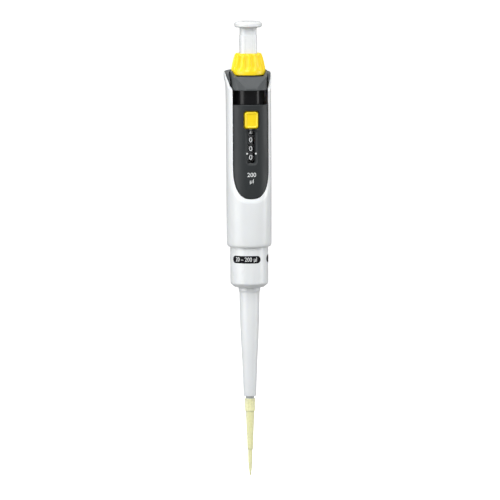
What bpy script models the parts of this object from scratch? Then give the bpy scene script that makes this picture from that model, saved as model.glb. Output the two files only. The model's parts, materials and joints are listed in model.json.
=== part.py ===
"""Adjustable single-channel air-displacement pipette, 20 to 200 microlitres, with one tip fitted.

The long axis is Z: the tip's mouth is at the origin and the pipetting key is at the top.
The front, with the counter and the release button, faces -Y. The finger rest points to +Y.
All lengths are in metres. A section is a closed loop round the long axis.
"""
import math

import bmesh
import bpy
from mathutils import Vector

MM = 0.001

# ---------------------------------------------------------------- driving dimensions
FIT_GAP = 0.3 * MM  # between pieces that rest on each other

TIP_LENGTH = 50.4 * MM
CONE_END_Z = 43.8 * MM
CONE_BORE = 2.55 * MM
PISTON_RADIUS = 2.25 * MM  # 12.5 mm of stroke displaces 200 microlitres
PISTON_BOTTOM_Z = 92.0 * MM
PISTON_HEAD_Z = 163.0 * MM

SLEEVE_END_Z = 52.0 * MM
COLLAR_FLOOR_Z = 123.2 * MM
COLLAR_TOP_Z = 158.0 * MM
COLLAR_RADIUS = 12.35 * MM
COLLAR_BORE = 10.9 * MM

HANDLE_BOTTOM_Z = 149.5 * MM
HANDLE_TOP_Z = 262.0 * MM
HANDLE_BACK = 16.5 * MM
HANDLE_WALL = 1.7 * MM
RIM_BORE = 12.75 * MM
HOOK_UNDERSIDE_Z = 256.2 * MM
HOOK_FLOOR_Z = 258.5 * MM
HOOK_REACH = 32.0 * MM
SLOPE_FOOT_Y = -11.0 * MM
SLOPE_FOOT_Z = 250.5 * MM
SLOPE_HEAD_Y = 3.0 * MM
SLOPE_HEAD_Z = 263.0 * MM

PANEL_HALF_WIDTH = 11.3 * MM
PANEL_BOTTOM_Z = 179.9 * MM
PANEL_ARCH_Z = 202.0 * MM
PANEL_TOP_Z = 242.1 * MM
PANEL_THICKNESS = 1.8 * MM
PANEL_GAP = 0.25 * MM
PANEL_SINK = 0.1 * MM

BUTTON_Z = 232.3 * MM
BUTTON_WIDTH = 8.5 * MM
BUTTON_HEIGHT = 10.5 * MM
BUTTON_MARGIN = 0.9 * MM
BUTTON_FACE_Y = -15.9 * MM
BUTTON_FLANGE_Y = -12.4 * MM
BUTTON_FLANGE_RIM = 1.3 * MM
BUTTON_FLANGE_THICKNESS = 0.4 * MM
TONGUE_END_Y = -10.0 * MM

COUNTER_SLOT_Z = 215.0 * MM
GROOVE_FLOOR_Y = -14.9 * MM
WINDOW_FRONT_Y = -13.4 * MM
WINDOW_BACK_Y = -12.5 * MM
HATCH_Z = 178.0 * MM
HATCH_HALF_WIDTH = 4.0 * MM
HATCH_HALF_HEIGHT = 8.0 * MM
HATCH_CORNER = 1.8 * MM

DIGIT_PITCH = 5.6 * MM
TENTHS_Z = 207.9 * MM
DRUM_RADIUS = 10.4 * MM
DRUM_BORE = 8.9 * MM
DRUM_HEIGHT = 5.3 * MM
DRUM_SHOULDER = 0.4 * MM

FRAME_BOTTOM_Z = 138.3 * MM
FRAME_TOP_Z = 204.0 * MM
BEARING_BOTTOM_Z = 229.5 * MM
BEARING_TOP_Z = 236.0 * MM
SPINDLE_BOTTOM_Z = 186.0 * MM
NUT_Z = 188.0 * MM
BLOWOUT_SEAT_Z = 180.3 * MM
FRAME_SHELF_Z = 169.0 * MM

KEY_DISC_Z = 291.3 * MM
STEM_HALF_WIDTH = 5.5 * MM
STEM_CORNER = 3.2 * MM
STEM_BOTTOM_Z = 255.0 * MM
ROD_RADIUS = 1.5 * MM

WHEEL_BOTTOM_Z = 260.7 * MM
WHEEL_TOP_Z = 274.6 * MM
WHEEL_RING_TOP_Z = 262.4 * MM
WHEEL_BELL_HEIGHT = WHEEL_TOP_Z - WHEEL_RING_TOP_Z
WHEEL_FLUTE_START_Z = 263.2 * MM
WHEEL_RADIUS = 11.25 * MM
WHEEL_TOP_RADIUS = 7.6 * MM
WHEEL_TAPER = 0.2  # loss of radius for each unit of height, at the foot of the bell
WHEEL_SOCKET_RADIUS = 8.5 * MM
WHEEL_FLUTES = 16
WHEEL_FLUTE_DEPTH = 0.8 * MM
HUB_BOTTOM_Z = 227.6 * MM
DRIVE_TUBE_Z = 198.0 * MM

CROWN_BOTTOM_Z = 251.2 * MM
CROWN_FLARE_Z = 258.0 * MM
CROWN_TOP_Z = 263.6 * MM
EJECTOR_ROD_Y = 11.6 * MM
EJECTOR_ROD_RADIUS = 1.0 * MM
EJECTOR_SPRING_Z = 163.4 * MM
EJECTOR_CLIP_Z = 190.0 * MM
EJECTOR_CLIP_HEIGHT = 1.2 * MM

SPRING_FLOOR_Z = 132.6 * MM
SEAL_FLOOR_Z = 119.3 * MM

BEYOND = 30.0 * MM  # how far a cutter runs past what it cuts
SEGMENTS = 24
FINE_SEGMENTS = 40

# name: (colour, roughness, metallic, alpha)
FINISHES = {
    "white_housing": ((0.80, 0.82, 0.83), 0.35, 0.0, 1.0),
    "white_ejector": ((0.82, 0.84, 0.85), 0.30, 0.0, 1.0),
    "white_key": ((0.86, 0.87, 0.88), 0.30, 0.0, 1.0),
    "grey_panel": ((0.045, 0.050, 0.055), 0.45, 0.0, 1.0),
    "grey_key": ((0.090, 0.100, 0.106), 0.45, 0.0, 1.0),
    "gloss_black": ((0.004, 0.004, 0.006), 0.12, 0.0, 1.0),
    "yellow_plastic": ((0.95, 0.68, 0.015), 0.35, 0.0, 1.0),
    "tip_plastic": ((0.78, 0.76, 0.42), 0.25, 0.0, 0.7),
    "clear_window": ((0.60, 0.62, 0.64), 0.08, 0.0, 0.4),
    "shaft_plastic": ((0.50, 0.53, 0.55), 0.35, 0.0, 1.0),
    "frame_plastic": ((0.16, 0.17, 0.18), 0.50, 0.0, 1.0),
    "drum_plastic": ((0.012, 0.012, 0.014), 0.40, 0.0, 1.0),
    "steel": ((0.62, 0.63, 0.65), 0.25, 1.0, 1.0),
    "brass": ((0.78, 0.57, 0.24), 0.30, 1.0, 1.0),
    "seal_rubber": ((0.03, 0.03, 0.03), 0.70, 0.0, 1.0),
    "seal_white": ((0.85, 0.85, 0.83), 0.40, 0.0, 1.0),
}


# ---------------------------------------------------------------- scene helpers
def clear_scene():
    for item in list(bpy.data.objects):
        bpy.data.objects.remove(item, do_unlink=True)


def make_material(slot):
    """One Principled material for a finish, made once and shared."""
    found = bpy.data.materials.get(slot)
    if found:
        return found
    colour, roughness, metallic, alpha = FINISHES[slot]
    material = bpy.data.materials.new(slot)
    material.use_nodes = True
    shader = material.node_tree.nodes["Principled BSDF"]
    shader.inputs["Base Color"].default_value = (*colour, 1.0)
    shader.inputs["Roughness"].default_value = roughness
    shader.inputs["Metallic"].default_value = metallic
    shader.inputs["Alpha"].default_value = alpha
    return material


def add_object(name, bm, slot, parent=None):
    """Close a bmesh into a named object, with its faces pointing out."""
    bmesh.ops.recalc_face_normals(bm, faces=bm.faces[:])
    mesh = bpy.data.meshes.new(name)
    bm.to_mesh(mesh)
    bm.free()
    mesh.shade_smooth()
    mesh.set_sharp_from_angle(angle=math.radians(35.0))
    made = bpy.data.objects.new(name, mesh)
    bpy.context.scene.collection.objects.link(made)
    if slot:
        mesh.materials.append(make_material(slot))
    if parent:
        made.parent = parent
    return made


def add_axis(name, location=(0.0, 0.0, 0.0)):
    """An empty on a joint's axis, which the moving pieces hang from."""
    empty = bpy.data.objects.new(name, None)
    empty.empty_display_size = 0.01
    empty.location = location
    bpy.context.scene.collection.objects.link(empty)
    return empty


def boolean(target, other, operation):
    """Combine target with other, which becomes a hidden cutter."""
    modifier = target.modifiers.new(operation.title(), "BOOLEAN")
    modifier.operation = operation
    modifier.solver = "EXACT"
    modifier.object = other
    other.hide_render = True
    other.display_type = "WIRE"


# ---------------------------------------------------------------- shape helpers
class Section:
    """An oval round the long axis, with its own front and back depth and squareness."""

    def __init__(self, half_width, front=None, back=None, front_power=2.0, back_power=None):
        self.half_width = half_width
        self.front = half_width if front is None else front
        self.back = self.front if back is None else back
        self.front_power = front_power
        self.back_power = front_power if back_power is None else back_power

    def grown(self, amount):
        return Section(
            self.half_width + amount,
            self.front + amount,
            self.back + amount,
            self.front_power,
            self.back_power,
        )

    def point(self, angle):
        cosine = math.cos(angle)
        sine = math.sin(angle)
        depth = self.back if sine > 0.0 else self.front
        power = self.back_power if sine > 0.0 else self.front_power
        x = self.half_width * math.copysign(abs(cosine) ** (2.0 / power), cosine)
        y = depth * math.copysign(abs(sine) ** (2.0 / power), sine)
        return x, y

    def surface_y(self, x, side):
        """Where the oval passes x, at its front (side -1) or its back (side +1)."""
        depth = self.front if side < 0 else self.back
        power = self.front_power if side < 0 else self.back_power
        share = min(abs(x) / self.half_width, 1.0)
        return side * depth * (1.0 - share**power) ** (1.0 / power)


def circle(radius):
    return Section(radius)


def add_loop(bm, section, z, segments):
    loop = []
    for index in range(segments):
        x, y = section.point(2.0 * math.pi * index / segments)
        loop.append(bm.verts.new((x, y, z)))
    return loop


def bridge(bm, lower, upper):
    count = len(lower)
    for index in range(count):
        following = (index + 1) % count
        bm.faces.new((lower[index], lower[following], upper[following], upper[index]))


def ring_body(name, outline, slot, segments=SEGMENTS, parent=None):
    """A hollow body: the outline's (section, z) steps go down the bore and up the outside."""
    bm = bmesh.new()
    loops = [add_loop(bm, section, z, segments) for section, z in outline]
    for index, loop in enumerate(loops):
        bridge(bm, loop, loops[(index + 1) % len(loops)])
    return add_object(name, bm, slot, parent)


def solid_body(name, outline, slot, segments=SEGMENTS, parent=None):
    """A body without a bore: the outline's (section, z) steps run from one end to the other."""
    bm = bmesh.new()
    loops = [add_loop(bm, section, z, segments) for section, z in outline]
    for lower, upper in zip(loops, loops[1:]):
        bridge(bm, lower, upper)
    bm.faces.new(loops[0])
    bm.faces.new(loops[-1])
    return add_object(name, bm, slot, parent)


def turned(base, profile):
    """Circles from (radius, height above base) pairs in millimetres."""
    return [(circle(radius * MM), base + height * MM) for radius, height in profile]


def turned_ring(name, base, profile, slot, segments=SEGMENTS, parent=None):
    """A hollow turned body; its profile goes down the bore and up the outside."""
    return ring_body(name, turned(base, profile), slot, segments, parent)


def turned_solid(name, base, profile, slot, segments=SEGMENTS, parent=None):
    """A turned body without a bore; its profile goes from end to end."""
    return solid_body(name, turned(base, profile), slot, segments, parent)


def tube(name, bore, radius, bottom, top, slot, segments=SEGMENTS, parent=None):
    """A plain tube."""
    outline = [
        (circle(bore), top),
        (circle(bore), bottom),
        (circle(radius), bottom),
        (circle(radius), top),
    ]
    return ring_body(name, outline, slot, segments, parent)


def rod(name, radius, bottom, top, slot, parent=None):
    """A plain round rod."""
    return solid_body(name, [(circle(radius), bottom), (circle(radius), top)], slot, 16, parent)


def rounded_outline(half_width, half_height, corner, steps=4, centre=0.0):
    """The corner arcs of a rounded rectangle, as points round (0, centre)."""
    points = []
    for quarter in range(4):
        turn = quarter * math.pi / 2.0
        centre_x = math.copysign(half_width - corner, math.cos(turn + math.pi / 4.0))
        centre_y = math.copysign(half_height - corner, math.sin(turn + math.pi / 4.0))
        for step in range(steps + 1):
            angle = turn + step * math.pi / 2.0 / steps
            across = centre_x + corner * math.cos(angle)
            points.append((across, centre + centre_y + corner * math.sin(angle)))
    return points


def prism(name, outline, axis, low, high, slot=None, parent=None):
    """Extrude an outline along an axis: (x, y) along Z, (x, z) along Y or (y, z) along X."""
    places = {
        "Z": lambda first, second, depth: (first, second, depth),
        "Y": lambda first, second, depth: (first, depth, second),
        "X": lambda first, second, depth: (depth, first, second),
    }
    place = places[axis]
    bm = bmesh.new()
    ends = []
    for depth in (low, high):
        ends.append([bm.verts.new(place(first, second, depth)) for first, second in outline])
    bridge(bm, ends[0], ends[1])
    bm.faces.new(ends[0])
    bm.faces.new(ends[1])
    return add_object(name, bm, slot, parent)


def coil(name, radius, wire, bottom, top, turns, slot, centre_y=0.0, parent=None):
    """A round-wire compression spring whose wire ends are capped."""
    steps_per_turn = 10
    wire_sides = 4
    steps = int(turns * steps_per_turn)
    rise = top - bottom - 2.0 * wire
    bm = bmesh.new()
    loops = []
    for step in range(steps + 1):
        angle = 2.0 * math.pi * turns * step / steps
        outward = Vector((math.cos(angle), math.sin(angle), 0.0))
        centre = outward * radius + Vector((0.0, centre_y, bottom + wire + rise * step / steps))
        loop = []
        for side in range(wire_sides):
            turn = 2.0 * math.pi * side / wire_sides
            offset = outward * math.cos(turn) * wire + Vector((0.0, 0.0, math.sin(turn) * wire))
            loop.append(bm.verts.new(centre + offset))
        loops.append(loop)
    for first, second in zip(loops, loops[1:]):
        bridge(bm, first, second)
    bm.faces.new(loops[0])
    bm.faces.new(loops[-1])
    return add_object(name, bm, slot, parent)


# ---------------------------------------------------------------- the handle's outer shape
# (z, half width, front, back, squareness) of the grip, from its lower rim to its top
GRIP_STATIONS = [
    (149.5, 13.5, 13.5, 13.5, 2.0),
    (150.3, 14.2, 14.2, 14.2, 2.0),
    (152.0, 14.5, 14.6, 14.6, 2.05),
    (160.0, 14.5, 14.9, 15.0, 2.15),
    (172.0, 14.5, 15.3, 15.7, 2.3),
    (190.0, 14.5, 15.5, 16.4, 2.45),
    (225.0, 14.5, 15.5, 16.5, 2.5),
    (236.0, 14.5, 15.5, 16.8, 2.5),
    (244.0, 14.5, 15.5, 18.2, 2.5),
    (250.0, 14.5, 15.5, 20.6, 2.5),
    (254.0, 14.7, 15.5, 23.0, 2.5),
    (258.0, 15.1, 15.5, 26.0, 2.5),
    (262.0, 15.3, 15.5, 28.0, 2.5),
]


def grip_section(z):
    """The grip's outer oval at a height, blended between its stations."""
    stations = [[value * MM for value in row[:4]] + [row[4]] for row in GRIP_STATIONS]
    height = min(max(z, stations[0][0]), stations[-1][0])
    for lower, upper in zip(stations, stations[1:]):
        if height <= upper[0]:
            share = (height - lower[0]) / (upper[0] - lower[0])
            values = [low + (high - low) * share for low, high in zip(lower, upper)]
            return Section(values[1], values[2], values[3], values[4])
    return None


def panel_half_width(z, gap=0.0):
    """Half the front panel's width at a height: straight sides over a round lower end."""
    if z >= PANEL_ARCH_Z:
        return PANEL_HALF_WIDTH + gap
    arch_power = 2.55
    depth = min((PANEL_ARCH_Z - z) / (PANEL_ARCH_Z - PANEL_BOTTOM_Z + gap), 1.0)
    return (PANEL_HALF_WIDTH + gap) * (1.0 - depth**arch_power) ** (1.0 / arch_power)


def panel_heights(gap=0.0):
    """Heights of the round lower end, closer together towards its bottom."""
    steps = 8
    depth = PANEL_ARCH_Z - PANEL_BOTTOM_Z + gap
    return [PANEL_ARCH_Z - depth * math.sin(math.pi / 2.0 * step / steps) for step in range(steps, -1, -1)]


def crown_section(z):
    """The ejector key's outer oval, which opens a little towards its top."""
    share = max(z - CROWN_FLARE_Z, 0.0) / (CROWN_TOP_Z - CROWN_FLARE_Z)
    half_width = (11.3 + 0.7 * share) * MM
    return Section(half_width, 14.3 * MM, 13.4 * MM, 3.6, 2.2)


def slanted_cutter(name):
    """Takes away the handle's front above a slope that climbs backwards from the panel."""
    outline = [
        (SLOPE_FOOT_Y - BEYOND, SLOPE_FOOT_Z),
        (SLOPE_FOOT_Y, SLOPE_FOOT_Z),
        (SLOPE_HEAD_Y, SLOPE_HEAD_Z),
        (SLOPE_HEAD_Y, SLOPE_HEAD_Z + BEYOND),
        (SLOPE_FOOT_Y - BEYOND, SLOPE_HEAD_Z + BEYOND),
    ]
    return prism(name, outline, "X", -BEYOND, BEYOND)


# ---------------------------------------------------------------- handle pieces
def build_handle_housing():
    """White grip shell with the finger rest behind its top and an open front."""
    grip = [(grip_section(row[0] * MM), row[0] * MM) for row in GRIP_STATIONS]
    housing = solid_body("handle_housing", grip, "white_housing", FINE_SEGMENTS)

    hook_outline = [
        (Section(13.2 * MM, 4.0 * MM, HOOK_REACH - 2.2 * MM, 2.4), HOOK_UNDERSIDE_Z),
        (Section(15.0 * MM, 4.0 * MM, HOOK_REACH - 0.4 * MM, 2.4), HOOK_UNDERSIDE_Z + 1.5 * MM),
        (Section(15.4 * MM, 4.0 * MM, HOOK_REACH, 2.4), HOOK_UNDERSIDE_Z + 3.6 * MM),
        (Section(15.2 * MM, 4.0 * MM, HOOK_REACH - 0.3 * MM, 2.4), HANDLE_TOP_Z),
    ]
    boolean(housing, solid_body("hook_form", hook_outline, None, FINE_SEGMENTS), "UNION")

    cavity = [(circle(RIM_BORE), HANDLE_BOTTOM_Z - 1.0 * MM), (circle(RIM_BORE), 152.0 * MM)]
    for z in (160.0, 172.0, 190.0, 225.0, 250.0):
        section = grip_section(z * MM)
        section.back = min(section.back, HANDLE_BACK)
        cavity.append((section.grown(-HANDLE_WALL), z * MM))
    cavity.append((Section(13.2 * MM, 14.0 * MM, 14.6 * MM, 2.8, 2.4), 255.2 * MM))
    cavity.append((Section(13.9 * MM, 14.0 * MM, 14.7 * MM, 2.8, 2.4), HOOK_FLOOR_Z))
    cavity.append((Section(14.4 * MM, 15.6 * MM, 30.6 * MM, 2.8, 2.4), HOOK_FLOOR_Z + 0.01 * MM))
    cavity.append((Section(14.7 * MM, 15.6 * MM, 30.7 * MM, 2.8, 2.4), HANDLE_TOP_Z + 1.0 * MM))
    boolean(housing, solid_body("handle_cavity", cavity, None, FINE_SEGMENTS), "DIFFERENCE")

    left = [(-panel_half_width(z, PANEL_GAP), z) for z in panel_heights(PANEL_GAP)[1:]]
    right = [(-x, z) for x, z in reversed(left)]
    high = HANDLE_TOP_Z + BEYOND
    edge = PANEL_HALF_WIDTH + PANEL_GAP
    bottom = (0.0, PANEL_BOTTOM_Z - PANEL_GAP)
    opening = [bottom] + left + [(-edge, high), (edge, high)] + right
    boolean(housing, prism("front_opening", opening, "Y", -BEYOND, -2.0 * MM), "DIFFERENCE")
    boolean(housing, slanted_cutter("handle_slope"), "DIFFERENCE")

    hatch = rounded_outline(
        HATCH_HALF_WIDTH + FIT_GAP, HATCH_HALF_HEIGHT + FIT_GAP, HATCH_CORNER + 0.2 * MM, 4, HATCH_Z
    )
    boolean(housing, prism("hatch_opening", hatch, "Y", 10.0 * MM, BEYOND), "DIFFERENCE")


def surface_plate(name, rows, columns, side, thickness, sink, slot):
    """A plate that follows the grip's surface: rows are (z, half width)."""
    bm = bmesh.new()
    outer = []
    inner = []
    for z, half_width in rows:
        section = grip_section(z)
        outer_row = []
        inner_row = []
        for column in range(columns + 1):
            x = half_width * (2.0 * column / columns - 1.0)
            y = section.surface_y(x, side) - side * sink
            outer_row.append(bm.verts.new((x, y, z)))
            inner_row.append(bm.verts.new((x, y - side * thickness, z)))
        outer.append(outer_row)
        inner.append(inner_row)
    last_row = len(rows) - 1
    for row in range(last_row):
        for column in range(columns):
            for face in (outer, inner):
                lower = face[row]
                upper = face[row + 1]
                bm.faces.new((lower[column], lower[column + 1], upper[column + 1], upper[column]))
        for column in (0, columns):
            corners = (outer[row][column], outer[row + 1][column], inner[row + 1][column], inner[row][column])
            bm.faces.new(corners)
    for row in (0, last_row):
        for column in range(columns):
            first = column + 1
            bm.faces.new((outer[row][column], outer[row][first], inner[row][first], inner[row][column]))
    return add_object(name, bm, slot)


def build_front_panel():
    """Dark panel in the grip's front, with a button hole, a groove and the counter's slot."""
    lowest = PANEL_BOTTOM_Z + 0.15 * MM
    rows = [(lowest, panel_half_width(lowest))]
    rows += [(z, panel_half_width(z)) for z in panel_heights()[1:]]
    rows += [(z, PANEL_HALF_WIDTH) for z in (COUNTER_SLOT_Z, 228.0 * MM, PANEL_TOP_Z)]
    panel = surface_plate("front_panel", rows, 16, -1, PANEL_THICKNESS, PANEL_SINK, "grey_panel")

    half_width = BUTTON_WIDTH / 2.0 + BUTTON_MARGIN
    half_height = BUTTON_HEIGHT / 2.0 + BUTTON_MARGIN
    hole = rounded_outline(half_width, half_height, 2.0 * MM, 4, BUTTON_Z)
    boolean(panel, prism("button_hole", hole, "Y", -BEYOND, -10.0 * MM), "DIFFERENCE")

    groove = rounded_outline(3.9 * MM, 11.6 * MM, 2.4 * MM, 4, COUNTER_SLOT_Z - 0.2 * MM)
    boolean(panel, prism("counter_groove", groove, "Y", -BEYOND, GROOVE_FLOOR_Y), "DIFFERENCE")

    slot = rounded_outline(2.15 * MM, 10.4 * MM, 0.8 * MM, 4, COUNTER_SLOT_Z)
    boolean(panel, prism("counter_slot", slot, "Y", -BEYOND, -10.0 * MM), "DIFFERENCE")


def build_display_window():
    """Clear pane behind the counter's slot."""
    outline = rounded_outline(3.2 * MM, 11.0 * MM, 1.0 * MM, 4, COUNTER_SLOT_Z - 0.6 * MM)
    prism("display_window", outline, "Y", WINDOW_FRONT_Y, WINDOW_BACK_Y, "clear_window")


def build_hatch():
    """Cover of the adjusting opening in the grip's back."""
    rows = []
    corner_steps = 3
    for step in range(corner_steps + 1):
        angle = math.pi / 2.0 * step / corner_steps
        width = HATCH_HALF_WIDTH - HATCH_CORNER * (1.0 - math.sin(angle))
        rows.append((HATCH_Z - HATCH_HALF_HEIGHT + HATCH_CORNER * (1.0 - math.cos(angle)), width))
    rows += [(2.0 * HATCH_Z - z, width) for z, width in reversed(rows)]
    surface_plate("calibration_cover", rows, 6, 1, HANDLE_WALL, 0.15 * MM, "white_housing")


def build_finger_rest_cover():
    """Grey lining of the finger rest, open at the front round the ejector key's path."""
    clear = Section(12.45 * MM, 14.6 * MM, 13.75 * MM, 2.8, 2.2)
    skirt_low = Section(12.95 * MM, 15.0 * MM, 14.35 * MM, 2.8, 2.3)
    skirt_high = Section(13.55 * MM, 15.0 * MM, 14.35 * MM, 2.8, 2.3)
    shelf_low = Section(14.15 * MM, 15.3 * MM, 30.3 * MM, 2.8, 2.4)
    shelf_high = Section(14.4 * MM, 15.3 * MM, 30.4 * MM, 2.8, 2.4)
    shelf_z = HOOK_FLOOR_Z + FIT_GAP
    skirt_z = 255.6 * MM
    top = HANDLE_TOP_Z + 0.4 * MM
    outline = [
        (clear, top),
        (clear, skirt_z),
        (skirt_low, skirt_z),
        (skirt_high, shelf_z),
        (shelf_low, shelf_z + 0.01 * MM),
        (shelf_high, top),
    ]
    cover = ring_body("finger_rest_cover", outline, "grey_key", FINE_SEGMENTS)
    boolean(cover, slanted_cutter("cover_slope"), "DIFFERENCE")


# ---------------------------------------------------------------- inside the handle
def build_inner_sleeve():
    """Glossy black guide tube that shows between the panel and the ejector key."""
    flange = Section(12.2 * MM, 10.6 * MM, 10.3 * MM, 2.3)
    bore = circle(8.7 * MM)
    outside = circle(10.2 * MM)
    bottom = BEARING_TOP_Z + FIT_GAP
    top = 257.5 * MM
    outline = [
        (bore, top),
        (bore, bottom),
        (flange, bottom),
        (flange, bottom + 1.7 * MM),
        (outside, bottom + 2.1 * MM),
        (outside, top),
    ]
    ring_body("inner_sleeve", outline, "gloss_black", FINE_SEGMENTS)


def build_mechanism_frame():
    """Chassis tube that carries the stroke mechanism and holds the shaft unit."""
    lower_flange = Section(12.3 * MM, 12.6 * MM, 10.3 * MM, 2.3)
    upper_flange = Section(12.3 * MM, 11.4 * MM, 10.3 * MM, 2.3)
    shelf_underside = FRAME_SHELF_Z - 3.0 * MM
    lower_flange_z = 160.0 * MM
    lower_flange_top = lower_flange_z + 2.6 * MM
    upper_flange_z = FRAME_TOP_Z - 1.6 * MM
    neck_top = 150.0 * MM
    outline = [
        (circle(6.6 * MM), FRAME_TOP_Z),
        (circle(6.6 * MM), FRAME_SHELF_Z),
        (circle(3.3 * MM), FRAME_SHELF_Z),
        (circle(3.3 * MM), shelf_underside),
        (circle(6.0 * MM), shelf_underside),
        (circle(6.0 * MM), FRAME_BOTTOM_Z),
        (circle(7.0 * MM), FRAME_BOTTOM_Z),
        (circle(7.0 * MM), neck_top),
        (circle(8.6 * MM), neck_top),
        (circle(8.6 * MM), lower_flange_z),
        (lower_flange, lower_flange_z),
        (lower_flange, lower_flange_top),
        (circle(8.4 * MM), lower_flange_top),
        (circle(8.4 * MM), upper_flange_z),
        (upper_flange, upper_flange_z),
        (upper_flange, FRAME_TOP_Z),
    ]
    ring_body("mechanism_frame", outline, "frame_plastic")


def build_counter_carrier():
    """Fixed sleeve the drums turn on, two pillars and the bearing plate above them."""
    foot = FRAME_TOP_Z + FIT_GAP
    sleeve_top = HUB_BOTTOM_Z - 0.4 * MM
    tube("counter_sleeve", 7.0 * MM, DRUM_BORE - FIT_GAP, foot, sleeve_top, "frame_plastic")
    plate = Section(12.2 * MM, 10.6 * MM, 10.3 * MM, 2.3)
    bore = circle(8.5 * MM)
    outline = [
        (bore, BEARING_TOP_Z),
        (bore, BEARING_BOTTOM_Z),
        (plate, BEARING_BOTTOM_Z),
        (plate, BEARING_TOP_Z),
    ]
    bearing = ring_body("bearing_plate", outline, "frame_plastic")
    slot = rounded_outline(1.6 * MM, 1.9 * MM, 0.5 * MM, 4, BUTTON_Z)
    boolean(bearing, prism("tongue_slot", slot, "Y", -BEYOND, -2.0 * MM), "DIFFERENCE")
    for side, name in ((-1.0, "counter_pillar_left"), (1.0, "counter_pillar_right")):
        pillar = rod(name, 0.75 * MM, foot, BEARING_BOTTOM_Z - FIT_GAP, "steel")
        pillar.location.x = side * 11.35 * MM


def build_stroke_parts():
    """Fixed nut, blow-out spring, its seat and the bush that guides the piston rod."""
    turned_ring("stroke_nut", NUT_Z, [(4.2, 8), (4.2, 0), (6.3, 0), (6.3, 8)], "brass")
    turned_ring("blowout_seat", BLOWOUT_SEAT_Z, [(4.4, 1.3), (4.4, 0), (6.3, 0), (6.3, 1.3)], "steel")
    spring_foot = FRAME_SHELF_Z + 0.4 * MM
    coil("blowout_spring", 5.4 * MM, 0.5 * MM, spring_foot, BLOWOUT_SEAT_Z - FIT_GAP, 4.5, "steel")
    bush_z = FRAME_SHELF_Z - 2.8 * MM
    turned_ring("rod_guide_bush", bush_z, [(1.75, 3), (1.75, 0), (3.1, 0), (3.1, 3)], "brass")


def build_shaft_unit():
    """Tip cone with the piston's bore, its seal stack, the return spring and the union nut."""
    bore = CONE_BORE / MM
    turned_ring(
        "tip_cone_shaft",
        CONE_END_Z,
        [
            (6.0, 94.2),
            (6.0, 87.2),
            (3.75, 87.2),
            (3.75, 75.2),
            (bore, 75.2),
            (bore, 28.2),
            (1.0, 25.2),
            (1.0, 0.0),
            (2.3, 0.0),
            (2.62, 6.6),
            (2.9, 8.2),
            (5.0, 73.2),
            (5.0, 84.2),
            (7.0, 84.2),
            (7.0, 94.2),
        ],
        "shaft_plastic",
    )
    nut_z = COLLAR_FLOOR_Z + 3.0 * MM
    turned_ring(
        "coupling_nut",
        nut_z,
        [(7.3, 21.8), (7.3, 1.5), (5.3, 1.5), (5.3, 0.0), (9.4, 0.0), (10.2, 1.0), (10.2, 21.8)],
        "frame_plastic",
    )
    seal = [(2.4, 3.6), (2.4, 0.0), (3.6, 0.0), (3.6, 3.6)]
    turned_ring("piston_seal", SEAL_FLOOR_Z, seal, "seal_white")
    build_o_ring()
    retainer_z = SEAL_FLOOR_Z + 5.7 * MM
    turned_ring(
        "seal_retainer",
        retainer_z,
        [(2.5, 7.3), (2.5, 0.0), (3.6, 0.0), (3.6, 6.3), (5.7, 6.3), (5.7, 7.3)],
        "brass",
    )
    coil("piston_spring", 4.6 * MM, 0.4 * MM, SPRING_FLOOR_Z, PISTON_HEAD_Z - FIT_GAP, 9, "steel")


def build_o_ring():
    """Round-section rubber ring over the piston seal."""
    centre = 3.03 * MM
    thickness = 0.57 * MM
    height = SEAL_FLOOR_Z + 4.6 * MM
    sides = 6
    outline = []
    for side in range(sides):
        angle = -2.0 * math.pi * side / sides
        radius = centre + thickness * math.cos(angle)
        outline.append((circle(radius), height + thickness * math.sin(angle)))
    ring_body("o_ring", outline, "seal_rubber")


# ---------------------------------------------------------------- volume wheel and counter
def wheel_radius(z):
    """The wheel's bell curve, which narrows faster towards its top."""
    rise = max(z - WHEEL_RING_TOP_Z, 0.0)
    bend = (WHEEL_RADIUS - WHEEL_TOP_RADIUS - WHEEL_TAPER * WHEEL_BELL_HEIGHT) / WHEEL_BELL_HEIGHT**2
    return WHEEL_RADIUS - WHEEL_TAPER * rise - bend * rise**2


def fluted_loop(bm, radius, depth, z, segments):
    loop = []
    for index in range(segments):
        angle = 2.0 * math.pi * index / segments
        wave = 0.5 - 0.5 * math.cos(WHEEL_FLUTES * angle)
        reach = radius - depth * wave
        loop.append(bm.verts.new((reach * math.cos(angle), reach * math.sin(angle), z)))
    return loop


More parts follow.
